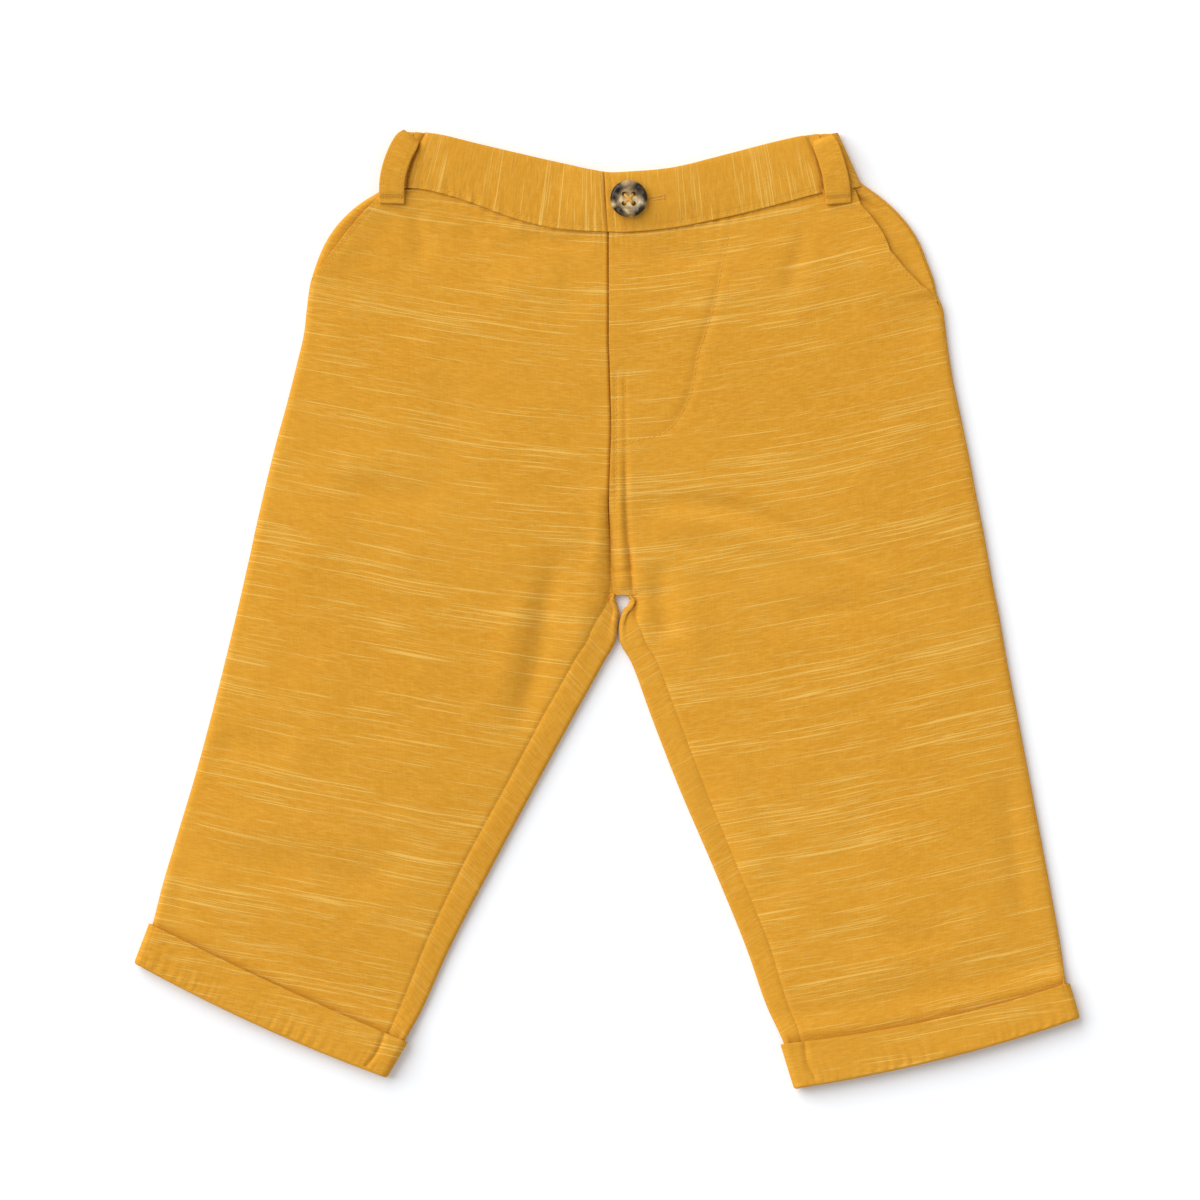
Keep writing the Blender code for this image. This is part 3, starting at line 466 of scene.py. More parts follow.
def lengths_along(points):
    """Length of a line of points up to each of them."""
    steps = np.linalg.norm(np.diff(points, axis=0), axis=1)
    return np.concatenate([[0.0], np.cumsum(steps)])


def spline(knots, places, stations, tight=False):
    """Cubic through the knots, whose slope at a knot is that of its neighbours; a tight
    one takes the harmonic mean of the slopes on both sides, and never overshoots."""
    knots = np.asarray(knots, float)
    stations = np.asarray(stations, float)
    slopes = np.gradient(knots, places, axis=0)
    if tight:
        sides = np.diff(knots, axis=0) / np.diff(places)[:, None]
        before, after = sides[:-1], sides[1:]
        total = np.where(before * after > 0, before + after, 1.0)
        slopes[1:-1] = np.where(before * after > 0, 2.0 * before * after / total, 0.0)
    span = np.clip(np.searchsorted(places, stations, side="right") - 1, 0, len(places) - 2)
    width = places[span + 1] - places[span]
    t = ((stations - places[span]) / width)[:, None]
    width = width[:, None]
    start = (1 + 2 * t) * (1 - t) ** 2 * knots[span] + t * (1 - t) ** 2 * width * slopes[span]
    end = t * t * (3 - 2 * t) * knots[span + 1] - t * t * (1 - t) * width * slopes[span + 1]
    return start + end


def bow(across, sag):
    """A shallow curve: 0 at both ends and sag in the middle."""
    return sag * 4.0 * across * (1.0 - across)


def waves(plan, swells):
    """Slow uneven swell of the cloth: for each of the swells a sum of plane waves, whose
    ways, lengths and starts are drawn once."""
    total = np.zeros(plan.shape[:-1])
    for height, seed, longest in swells:
        draw = np.random.default_rng(seed)
        for _ in range(SWELL_WAVES):
            angle = draw.uniform(0.0, math.pi)
            length = longest * draw.uniform(0.45, 1.0)
            way = np.array([math.cos(angle), math.sin(angle)]) * 2 * math.pi / length
            wave = np.sin(plan @ way + draw.uniform(0, 2 * math.pi))
            total += height * wave / SWELL_WAVES
    return total


def line_distance(plan, line):
    """How far plan points lie from a smooth line, and how far along it, both in mm."""
    line = np.array(line, float)
    places = lengths_along(line)
    fine = np.linspace(0.0, places[-1], 4 * len(line))
    curve = spline(line, places, fine)
    nearest = np.full(plan.shape[:-1], np.inf)
    progress = np.zeros(plan.shape[:-1])
    for start, end, place, step in zip(curve[:-1], curve[1:], fine[:-1], np.diff(fine)):
        way = end - start
        along = np.clip(((plan - start) @ way) / (way @ way), 0.0, 1.0)
        gap = np.linalg.norm(plan - start - along[..., None] * way, axis=-1)
        closer = gap < nearest
        nearest = np.where(closer, gap, nearest)
        progress = np.where(closer, place + along * step, progress)
    return nearest, progress


def crease(plan, fold):
    """One fold: its lift times a bell across its line, and how far along it each point is."""
    gap, along = line_distance(plan, fold.line)
    return fold.lift * bell(gap, fold.width), along


def fold_height(plan):
    """Sum of the folds, each fading to nothing at its two ends."""
    total = np.zeros(plan.shape[:-1])
    for fold in FOLDS:
        height, along = crease(plan, fold)
        share = along / lengths_along(np.array(fold.line, float))[-1]
        taper = smoothstep(share / FOLD_TAPER) * smoothstep((1.0 - share) / FOLD_TAPER)
        total += FOLD_DEPTH * height * taper
    return total


def pucker(place, distance, seed):
    """Small gathers square to a sewn seam: three sines along it, each with its own slow
    swell, and gone a little way off."""
    draw = np.random.default_rng(seed)
    total = 0.0
    for share in (1.0, 0.62, 0.41):
        length = PUCKER_LENGTH * share * draw.uniform(0.9, 1.15)
        swell = 0.5 + 0.5 * np.sin(place / (PUCKER_SWELL * share) + draw.uniform(0, 6))
        total = total + np.sin(2 * math.pi * place / length + draw.uniform(0, 6)) * swell * share
    return PUCKER_LIFT * total * np.exp(-distance / PUCKER_REACH)


def pressed(distance):
    """The dip of a pressed seam."""
    return -SEAM_PRESS * bell(distance, SEAM_PRESS_WIDTH)


# ---------------------------------------------------------------- mesh tools
SHEETS = {}


def mesh_object(name, points, faces, material, uv=None):
    """A mesh from points in mm, with smooth faces and its cloth UV in metres."""
    mesh = bpy.data.meshes.new(name)
    mesh.from_pydata((np.asarray(points, float) * MM).tolist(), [], faces)
    mesh.shade_smooth()
    if uv is not None:
        layer = mesh.uv_layers.new(name="cloth")
        corners = np.empty(len(mesh.loops), dtype=np.int32)
        mesh.loops.foreach_get("vertex_index", corners)
        flat = (np.asarray(uv, float) * MM)[corners]
        layer.data.foreach_set("uv", flat.astype(np.float32).ravel())
    mesh.materials.append(material)
    obj = bpy.data.objects.new(name, mesh)
    bpy.context.scene.collection.objects.link(obj)
    return obj


def grid_faces(rows, columns, keep=None, closed=False):
    """Quads of a grid of points, as one array; keep is a mask of the quads that stay."""
    row = np.arange(rows - 1)[:, None]
    column = np.arange(columns if closed else columns - 1)[None, :]
    after = (column + 1) % columns
    low = row * columns
    high = low + columns
    corners = np.broadcast_arrays(low + column, low + after, high + after, high + column)
    faces = np.stack(corners, -1)
    if keep is not None:
        faces = faces[keep]
    return faces.reshape(-1, 4)


def cloth_area(grid, keep, closed):
    """Area of a grid of points in square metres."""
    faces = grid_faces(*grid.shape[:2], keep, closed)
    corners = grid.reshape(-1, 3)[faces]
    diagonal = corners[:, 2] - corners[:, 0]
    one = np.cross(corners[:, 1] - corners[:, 0], diagonal)
    two = np.cross(diagonal, corners[:, 3] - corners[:, 0])
    twice = np.linalg.norm(one, axis=1) + np.linalg.norm(two, axis=1)
    return float(twice.sum() / 2) * MM * MM


def cloth(node, grid, cut, thickness, material, flat, keep=None, closed=False,
          up_at=None, fullness=1.0):
    """A piece of linen in place of its solid: a thin shell round a grid of mid-wall points,
    with softened cut edges. cut holds the points' places on the flat cloth, and flat its
    whole size. up_at is the (row, column) of a quad whose upper side faces up, and fullness
    is how much more cloth there is than the gathered piece shows."""
    rows, columns = grid.shape[:2]
    faces = grid_faces(rows, columns, keep, closed)
    points = grid.reshape(-1, 3)
    row, column = up_at or (rows // 2, columns // 2)
    corner = grid[row, column]
    turn = np.cross(grid[row, column + 1] - corner, grid[row + 1, column] - corner)
    if turn[2] < 0:
        faces = faces[:, ::-1]
    used = np.unique(faces)
    renumber = np.zeros(len(points), dtype=int)
    renumber[used] = np.arange(len(used))
    points, faces = points[used], renumber[faces]
    uv = (cut + np.array(BOLT[node])).reshape(-1, 2)[used]
    obj = mesh_object(node + "_cloth", points, faces.tolist(), material, uv)
    solidify = obj.modifiers.new("cloth thickness", "SOLIDIFY")
    solidify.thickness = thickness * MM
    solidify.offset = 0.0
    bevel = obj.modifiers.new("turned edge", "BEVEL")
    bevel.width = thickness * EDGE_SOFTNESS * MM
    bevel.segments = 2
    bevel.limit_method = "ANGLE"
    bevel.angle_limit = math.radians(60)
    SHEETS[node] = (points + UP * thickness / 2, faces)
    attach(obj, "root")
    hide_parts(node)
    width, length = flat[0] * MM, flat[1] * MM
    area = min(cloth_area(grid, keep, closed) * fullness, 0.99 * width * length)


def surface_tree(nodes):
    """The upper faces of some sheets, to lay stitches on."""
    points, faces, base = [], [], 0
    for node in nodes:
        sheet_points, sheet_faces = SHEETS[node]
        points.append(sheet_points)
        faces.append(sheet_faces + base)
        base += len(sheet_points)
    return BVHTree.FromPolygons(np.vstack(points).tolist(), np.vstack(faces).tolist())


def drop(plan, tree):
    """Heights of the surface under plan points, in mm."""
    heights = []
    for x, y in np.asarray(plan, float):
        hit = tree.ray_cast(Vector((x, y, DROP_FROM)), -Vector(UP))[0]
        heights.append(hit.z if hit else np.nan)
    heights = np.array(heights)
    good = ~np.isnan(heights)
    places = np.arange(len(heights))
    return np.interp(places, places[good], heights[good])


# ---------------------------------------------------------------- materials
def linear(code):
    """An sRGB hex colour as linear red, green, blue and alpha."""
    parts = [int(code[i:i + 2], 16) / 255 for i in (1, 3, 5)]
    return [c / 12.92 if c <= 0.04045 else ((c + 0.055) / 1.055) ** 2.4 for c in parts] + [1.0]


def connect(node, inputs):
    """Links a node's inputs to sockets, and sets the others to their values."""
    for name, value in dict(inputs).items():
        if isinstance(value, bpy.types.NodeSocket):
            node.id_data.links.new(value, node.inputs[name])
        else:
            node.inputs[name].default_value = value


def add(tree, kind, inputs=(), output=0, stops=(), **settings):
    """Adds a node with its settings, inputs and colour stops, and gives one output."""
    node = tree.nodes.new("ShaderNode" + kind)
    for key, value in settings.items():
        setattr(node, key, value)
    connect(node, inputs)
    if stops:
        elements = node.color_ramp.elements
        while len(elements) < len(stops):
            elements.new(0.5)
        for element, (place, code) in zip(elements, stops):
            element.position = place
            element.color = linear(code)
    return node.outputs[output]


def new_material(name):
    """A material, its node tree and its shader."""
    material = bpy.data.materials.new(name)
    material.use_nodes = True
    tree = material.node_tree
    return material, tree, tree.nodes["Principled BSDF"]


def slub_linen(name, slubs):
    """Plain-woven slub linen, piece-dyed mustard and washed soft. Here and there the weft
    has a thick, light stretch, 0.3 to 0.5 mm wide and 10 to 60 mm long, in loose bands.
    The ground is a fine cross-hatch of slightly uneven threads, and there is hardly any
    gloss. Its threads are drawn coarser than real ones, 0.42 and 0.46 mm apart, so that
    they show. slubs is how clearly the thick stretches show, from 0 to 1."""
    material, tree, shader = new_material(name)
    uv = add(tree, "UVMap", uv_map="cloth")
    axes = add(tree, "SeparateXYZ", {0: uv}, "X").node
    across, along = axes.outputs["X"], axes.outputs["Y"]
    wander = add(tree, "TexNoise", {"Vector": uv, "Scale": 16.0, "Detail": 1.0}, "Fac")
    shift = add(tree, "Math", {0: wander, 1: WEFT_WANDER * MM}, operation="MULTIPLY")
    weft = add(tree, "Math", {0: along, 1: shift}, operation="ADD")

    def thread_noise(place, other, pitch, length, seed, detail=1.0):
        """Noise that is stretched along one thread and new on the next one."""
        row = add(tree, "Math", {0: place, 1: pitch * MM}, operation="DIVIDE")
        number = add(tree, "Math", {0: row}, operation="FLOOR")
        jump = add(tree, "Math", {0: number, 1: THREAD_JUMP}, operation="MULTIPLY")
        run = add(tree, "Math", {0: other, 1: length * MM}, operation="DIVIDE")
        spot = add(tree, "CombineXYZ", {"X": run, "Y": jump, "Z": seed})
        return add(tree, "TexNoise", {
            "Vector": spot, "Scale": 1.0, "Detail": detail, "Roughness": 0.5}, "Fac")

    spread = add(tree, "Mapping", {"Vector": uv, "Scale": (7.0, 62.0, 1.0)})
    bands = add(tree, "TexNoise", {"Vector": spread, "Scale": 1.0, "Detail": 2.0}, "Fac")
    gate = add(tree, "MapRange", {"Value": bands, 1: 0.40, 2: 0.67, 3: 0.0, 4: 0.10})
    slub = None
    for layer in SLUB_LAYERS:
        noise = thread_noise(weft, across, layer.pitch, layer.length, layer.seed)
        gated = add(tree, "Math", {0: noise, 1: gate}, operation="ADD")
        shown = add(tree, "MapRange", {
            "Value": gated, 1: layer.low, 2: layer.high, 3: 0.0, 4: layer.share * slubs})
        slub = shown if slub is None else add(tree, "Math", {0: slub, 1: shown}, operation="MAXIMUM")
    weft_tone = thread_noise(weft, across, 0.42, 4.0, 17.0, 2.0)
    warp_tone = thread_noise(across, along, 0.46, 9.0, 29.0, 2.0)
    cloud = add(tree, "TexNoise", {"Vector": uv, "Scale": 14.0, "Detail": 3.0}, "Fac")

    colour = add(tree, "ValToRGB", {"Fac": weft_tone}, stops=[
        (0.30, LINEN_DARK), (0.50, LINEN_MID), (0.72, LINEN_LIGHT)])
    warped = add(tree, "MapRange", {"Value": warp_tone, 1: 0.35, 2: 0.65, 3: 0.0, 4: 0.40})
    clouded = add(tree, "MapRange", {"Value": cloud, 1: 0.40, 2: 0.70, 3: 0.0, 4: 0.35})
    for share, tint in ((warped, LINEN_WARP), (clouded, LINEN_CLOUD), (slub, LINEN_SLUB)):
        colour = add(tree, "MixRGB", {0: share, 1: colour, 2: linear(tint)})
    weave = add(tree, "Math", {0: weft_tone, 1: warp_tone}, operation="ADD")
    thick = add(tree, "Math", {0: slub, 1: 0.9}, operation="MULTIPLY")
    height = add(tree, "Math", {0: thick, 1: weave}, operation="ADD")
    connect(shader, {
        "Base Color": colour,
        "Normal": add(tree, "Bump", {"Height": height, "Strength": 0.6, "Distance": 0.00018}),
        "Roughness": add(tree, "MapRange", {"Value": slub, 1: 0.0, 2: 1.0, 3: 0.92, 4: 0.80}),
        "IOR": 1.45, "Specular IOR Level": 0.12,
        "Sheen Weight": 0.04, "Sheen Roughness": 0.5, "Sheen Tint": linear(LINEN_SHEEN)})
    return material


def sewing_thread():
    """Spun polyester sewing thread, dyed to the cloth: matt, with a fine diagonal twist."""
    material, tree, shader = new_material("mustard sewing thread")
    place = add(tree, "TexCoord", output="Object")
    twist = add(tree, "TexWave", {"Vector": place, "Scale": 900.0, "Distortion": 0.4}, "Fac",
                bands_direction="DIAGONAL")
    connect(shader, {
        "Base Color": add(tree, "ValToRGB", {"Fac": twist}, stops=THREAD_COLOURS),
        "Normal": add(tree, "Bump", {"Height": twist, "Strength": 0.3, "Distance": 0.00008}),
        "Roughness": 0.6, "Specular IOR Level": 0.35})
    return material


def horn_resin():
    """Cast polyester resin, clouded cream, greige and dark brown like polished horn. The
    dark clouds are balls that fade outwards, and a finer noise breaks their edges."""
    material, tree, shader = new_material("horn-look polyester resin")
    place = add(tree, "TexCoord", output="Object")
    middle = (-BUTTON_PLACE[0] * MM, -BUTTON_PLACE[1] * MM, 0.0)
    centred = add(tree, "Mapping", {"Vector": place, "Location": middle})
    cloud = add(tree, "TexNoise", {
        "Vector": centred, "Scale": 260.0, "Detail": 3.0, "Distortion": 0.6}, "Fac")
    ground = add(tree, "ValToRGB", {"Fac": cloud}, stops=HORN_COLOURS)
    dark = None
    for x, y, reach in HORN_SPOTS:
        away = add(tree, "VectorMath", {0: centred, 1: (x * MM, y * MM, HORN_SPOT_HEIGHT * MM)},
                   "Value", operation="DISTANCE")
        fade = add(tree, "MapRange", {
            "Value": away, 1: reach * 0.35 * MM, 2: reach * 1.15 * MM, 3: 1.0, 4: 0.0},
            interpolation_type="SMOOTHSTEP")
        dark = fade if dark is None else add(tree, "Math", {0: dark, 1: fade}, operation="MAXIMUM")
    vein = add(tree, "TexNoise", {
        "Vector": centred, "Scale": 420.0, "Detail": 2.0, "Distortion": 1.2}, "Fac")
    edge = add(tree, "MapRange", {"Value": vein, 1: 0.3, 2: 0.6, 3: 0.75, 4: 1.1})
    broken = add(tree, "Math", {0: dark, 1: edge}, operation="MULTIPLY", use_clamp=True)
    connect(shader, {
        "Base Color": add(tree, "MixRGB", {0: broken, 1: ground, 2: linear(HORN_DARK)}),
        "Roughness": 0.4, "IOR": 1.56, "Specular IOR Level": 0.3})
    return material


LINEN = slub_linen("slub linen", 1.0)
BACK_LINEN = slub_linen("slub linen, fainter slubs", 0.45)
LOOP_LINEN = slub_linen("slub linen, plain stretch", 0.2)
THREAD = sewing_thread()
HORN = horn_resin()


# ---------------------------------------------------------------- the cut
def weft_map(plan, side):
    """Where plan points lie on the flat cloth. The weft rises to each side, little at the
    centre line and by 1 in 5 on the outer leg: its slope goes with
    WEFT_SLOPE - WEFT_LEVEL / (1 + (x / WEFT_REACH)^2), and the shift is its integral."""
    x, y = plan[..., 0], plan[..., 1]
    level = WEFT_LEVEL * WEFT_REACH * np.arctan(np.abs(x) / WEFT_REACH)
    turn = WEFT_TURN[side] * (WEFT_SLOPE * np.abs(x) - level)
    return np.stack([x + WARP_LEAN * y, y - turn], axis=-1) + np.array(LEG_CUT[side])


def cuff_edges(cuff, across):
    """The cuff's top edge and its fold in plan, from the outer corner to the inner."""
    across = np.asarray(across, float)[:, None]
    outer_top, inner_top = np.array(cuff.outer_top), np.array(cuff.inner_top)
    outer_end, inner_end = np.array(cuff.outer_end), np.array(cuff.inner_end)
    down = unit((outer_end + inner_end) - (outer_top + inner_top))
    top = outer_top + (inner_top - outer_top) * across + down * bow(across, cuff.top_sag)
    end = outer_end + (inner_end - outer_end) * across + down * bow(across, cuff.end_sag)
    return top, end, down


class Leg:
    """One half of the trousers in plan, with its heights above the surface."""

    def __init__(self, side, rows):
        self.side = side
        self.cuff = CUFFS[side]
        table = np.array(rows, float)
        outer, inner, inseam, pocket = table[:, :2], table[:, 2:4], table[:, 4], table[:, 5]
        folded_row = np.argmax(inseam > 0)
        outer, inner, inseam, pocket = self.add_cuff_rows(outer, inner, inseam, pocket)
        longest = np.maximum(np.linalg.norm(np.diff(outer, axis=0), axis=1),
                             np.linalg.norm(np.diff(inner, axis=0), axis=1))
        places = np.concatenate([[0.0], np.cumsum(longest)])
        stations = [-UNDERLAP, 0.0]
        for span, length in enumerate(longest):
            at_crotch = CROTCH_ROWS[0] < inner[span, 1] < CROTCH_ROWS[1]
            steps = max(1, math.ceil(length / (CROTCH_STEP if at_crotch else ROW_STEP)))
            stations += list(np.linspace(places[span], places[span + 1], steps + 1)[1:])
        stations = np.array(stations)
        self.stations = stations
        self.outer = spline(outer, places, stations)
        self.inner = spline(inner, places, stations, tight=True)
        self.inseam = np.maximum(np.interp(stations, places, inseam), LEAST_INSEAM)
        self.pocket = np.interp(stations, places, pocket)
        self.first_folded = int(np.searchsorted(stations, places[folded_row] - 1e-6))
        self.folded = np.arange(len(stations)) >= self.first_folded
        self.below = stations - stations[self.first_folded]
        self.along = unit(self.outer - self.inner)
        self.width = np.linalg.norm(self.outer - self.inner, axis=1)
        distance = self.to_cuff()
        in_cuff = smoothstep(1.0 - (distance - CUFF_LEVEL) / CUFF_RAMP)
        self.stand = CUFF_STAND * in_cuff
        self.flatten = smoothstep(distance / FLATTEN_REACH)
        in_cuff = in_cuff[:, None]
        self.outer_out = self.outward(self.outer, self.along)
        self.outer_out = unit(self.outer_out + (self.along - self.outer_out) * in_cuff)
        self.inner_out = self.outward(self.inner, -self.along)
        self.inner_out = unit(self.inner_out - (self.along + self.inner_out) * in_cuff)
        self.outer_bend = self.outer - self.outer_out * FOLD_REACH
        self.turned = smoothstep(self.below / TURN_REACH) * self.folded
        self.inner_bend = self.inner - self.inner_out * (FOLD_REACH * self.turned)[:, None]
        self.flat = np.linalg.norm(self.outer_bend - self.inner, axis=1)
        self.seam_angle = math.radians(SIDE_SEAM[side])
        self.path = self.flat + FOLD_RADIUS * (math.pi / 2 - self.seam_angle)
        self.opening = smoothstep(self.pocket / POCKET_BLEND)
        self.edge = self.path - self.pocket - (self.path - self.width) * self.opening
        self.waist_ends = inner[0], outer[0]
        waist = np.linalg.norm(self.inner - inner[0], axis=1)
        self.waist = smoothstep(waist / WAIST_REACH)
        above = self.inner[:, 1] - self.inner[self.first_folded, 1]
        self.crotch = smoothstep(1.0 - above / LEG_REACH)
        self.seam_shift = np.clip(1.0 - waist / WAIST_FADE, 0.0, 1.0) ** 2

    def add_cuff_rows(self, outer, inner, inseam, pocket):
        """Two last rows that run inside the cuff: at its top edge and just above its fold."""
        top, end, down = cuff_edges(self.cuff, [0.0, 1.0])
        for edge, lift in ((top, 0.0), (end, CUFF_TURN + SOLID_PLY + 2 * GAP)):
            side = unit(edge[0] - edge[1])
            outer = np.vstack([outer, edge[0] - side * CUFF_CLEARANCE - down * lift])
            inner = np.vstack([inner, edge[1] + side * CUFF_CLEARANCE - down * lift])
        inseam = np.concatenate([inseam, CUFF_INSEAM])
        pocket = np.concatenate([pocket, [0.0, 0.0]])
        return outer, inner, inseam, pocket

    def outward(self, edge, away):
        """Unit normals of an outline, turned to the side that away points to."""
        tangent = unit(np.gradient(edge, axis=0))
        normal = np.stack([tangent[:, 1], -tangent[:, 0]], axis=1)
        return normal * np.sign(np.sum(normal * away))

    def to_cuff(self):
        """How far each row lies above the cuff's top edge, 0 inside the cuff."""
        middle = (self.outer + self.inner) / 2
        top, _, down = cuff_edges(self.cuff, [0.0, 1.0])
        line = (top[0] + top[1]) / 2
        return np.clip(np.sum((line - middle) * down, axis=1), 0.0, None)

    def seam_bend(self, across):
        """How far the waist seam leaves the straight line of the first row."""
        seam = np.array(BAND_ROWS)[:, 2:]
        line = seam[seam[:, 0] < 0 if self.side == "right" else seam[:, 0] > 1]
        line = line[np.argsort(np.abs(line[:, 0]))][:-1]
        start, end = self.waist_ends
        line = np.vstack([start, line, end])
        places = lengths_along(line)
        across = np.clip(across, 0.0, 1.0)
        curve = spline(line, places, across * places[-1])
        return curve - start - (end - start) * across[:, None]

    def shifted(self, plan, across):
        """Points of the rows, bent with the waist seam and with the cuff's fold."""
        shift = self.seam_bend(across.ravel()).reshape(*across.shape, 2)
        down = cuff_edges(self.cuff, [0.5])[2]
        sag = bow(across, 1.0) * self.cuff.end_sag * (1.0 - self.flatten)[:, None]
        return plan + shift * self.seam_shift[:, None, None] + sag[..., None] * down

    def top_height(self, plan, across):
        """Mid-wall height of the front: a low pillow between the leg's edges, high at the
        centre seam above the crotch, and on it the folds and a slow swell, which fade to
        the edges, the lap at the centre seam, the trenches, and a dip before the cuff."""
        level = SOLID_PLY / 2 + 2 * FOLD_RADIUS + self.stand
        width, crotch = self.width[:, None], self.crotch[:, None]
        reach = FOLD_REACH / width
        inside = np.clip((across - reach) / (1.0 - 2.0 * reach), 0.0, 1.0)
        leg = 1.0 - np.abs(2.0 * inside - 1.0) ** 3
        body = 1.0 - inside ** 3
        pillow = body + (leg - body) * crotch
        rise = WAIST_RISE + (LEG_RISE - WAIST_RISE) * self.waist
        height = level[:, None] + pillow * (rise * self.flatten)[:, None]
        from_outer = (1.0 - inside) * width
        from_inner = inside * width + FOLD_EDGE * (1.0 - crotch)
        edge = smoothstep(np.minimum(from_outer, from_inner) / FOLD_EDGE)
        relief = fold_height(plan) + waves(plan, FRONT_SWELLS)
        height = height + relief * edge * self.flatten[:, None]
        lap = LAP_RAISE if self.side == "left" else -LAP_DIP
        height = height + lap * np.exp(-inside * width / LAP_WIDTH) * (1.0 - crotch)
        for fold in TRENCHES:
            depth, along = crease(plan, fold)
            height = height + depth * (1.0 - TRENCH_START * np.exp(-along / TRENCH_REACH))
        height = np.maximum(height, FRONT_LOWEST)
        mouth = cuff_edges(self.cuff, np.linspace(-0.02, 1.02, 30))[0]
        from_mouth = line_distance(plan, mouth)[0] - GAP
        return height - CUFF_DIP * smoothstep(1.0 - from_mouth / CUFF_DIP_REACH)

    def seam_relief(self, plan, across):
        """The pressed lines and the puckers along the inseam, the waist and the topstitching."""
        distance = across * self.width[:, None]
        place = self.stations[:, None] + 0.0 * distance
        to_inseam = np.abs(distance - self.inseam[:, None])
        to_waist = np.abs(place)
        relief = (pressed(to_inseam) + pucker(place, to_inseam, INSEAM_SEED)) * self.folded[:, None]
        relief = relief + 0.7 * pressed(to_waist) + 1.5 * pucker(distance, to_waist, WAIST_SEED)
        if self.side == "left":
            for number, (depth, line) in enumerate(SEWN_LINES):
                gap, place = line_distance(plan, line)
                gathers = pucker(place, gap * 1.6, TOPSTITCH_SEED + number)
                relief = relief + depth * (pressed(gap) + gathers)
            for line in CROTCH_SEAMS:
                relief = relief + 1.2 * pressed(line_distance(plan, line)[0])
        return relief

    def surface(self, distance, sink=0.0):
        """Points of the front at distances from the inner edge: flat ones, and past the
        outer bend on an arc down to the side seam."""
        across = distance / self.width[:, None]
        way = (self.outer_bend - self.inner) / self.flat[:, None]
        held = np.minimum(distance, self.flat[:, None])
        plan = self.inner[:, None, :] + way[:, None, :] * held[..., None]
        angle = np.maximum(distance - self.flat[:, None], 0.0) / FOLD_RADIUS
        plan = plan + self.outer_out[:, None, :] * (FOLD_RADIUS * np.sin(angle))[..., None]
        plan = self.shifted(plan, across)
        height = self.top_height(plan, across) + self.seam_relief(plan, across) - sink
        return plan, height - FOLD_RADIUS * (1.0 - np.cos(angle))


def front_panel(leg):
    """The front: the leg's surface from the inseam or centre seam to the side seam or the
    pocket's edge, where it lifts a little. At the side it has puckers and a pressed line."""
    underlap = CENTRE_UNDERLAP if leg.side == "right" else 0.0
    below = np.maximum(leg.below, 0.0)
    start = np.where(leg.folded, leg.inseam * (1.0 - np.exp(-below / INSEAM_START)), -underlap)
    fraction = np.concatenate([FRONT_INNER, FRONT_OUTER])
    distance = start[:, None] + (leg.edge - start)[:, None] * fraction
    plan, height = leg.surface(distance)
    from_side = leg.edge[:, None] - distance
    opening = leg.opening[:, None]
    place = leg.stations[:, None] + 0.0 * distance
    height = height + 0.35 * pressed(from_side) * (1.0 - opening)
    height = height + pucker(place, from_side, SIDE_SEED) * (0.5 + 0.9 * opening)
    height = height + 0.5 * pressed(from_side - POCKET_STITCH) * opening
    height = height + POCKET_RAISE * opening * bell(from_side, POCKET_REACH)
    if underlap:
        at_edge = smoothstep((LAP_RUN - distance) / LAP_RUN) * ~leg.folded[:, None]
        height = np.maximum(height - LAP_DROP * at_edge, FRONT_AT_BACK)
    cloth(f"front_{leg.side}_panel", np.dstack([plan, height]), weft_map(plan, leg.side), PLY,
          LINEN, FRONT_FLAT)


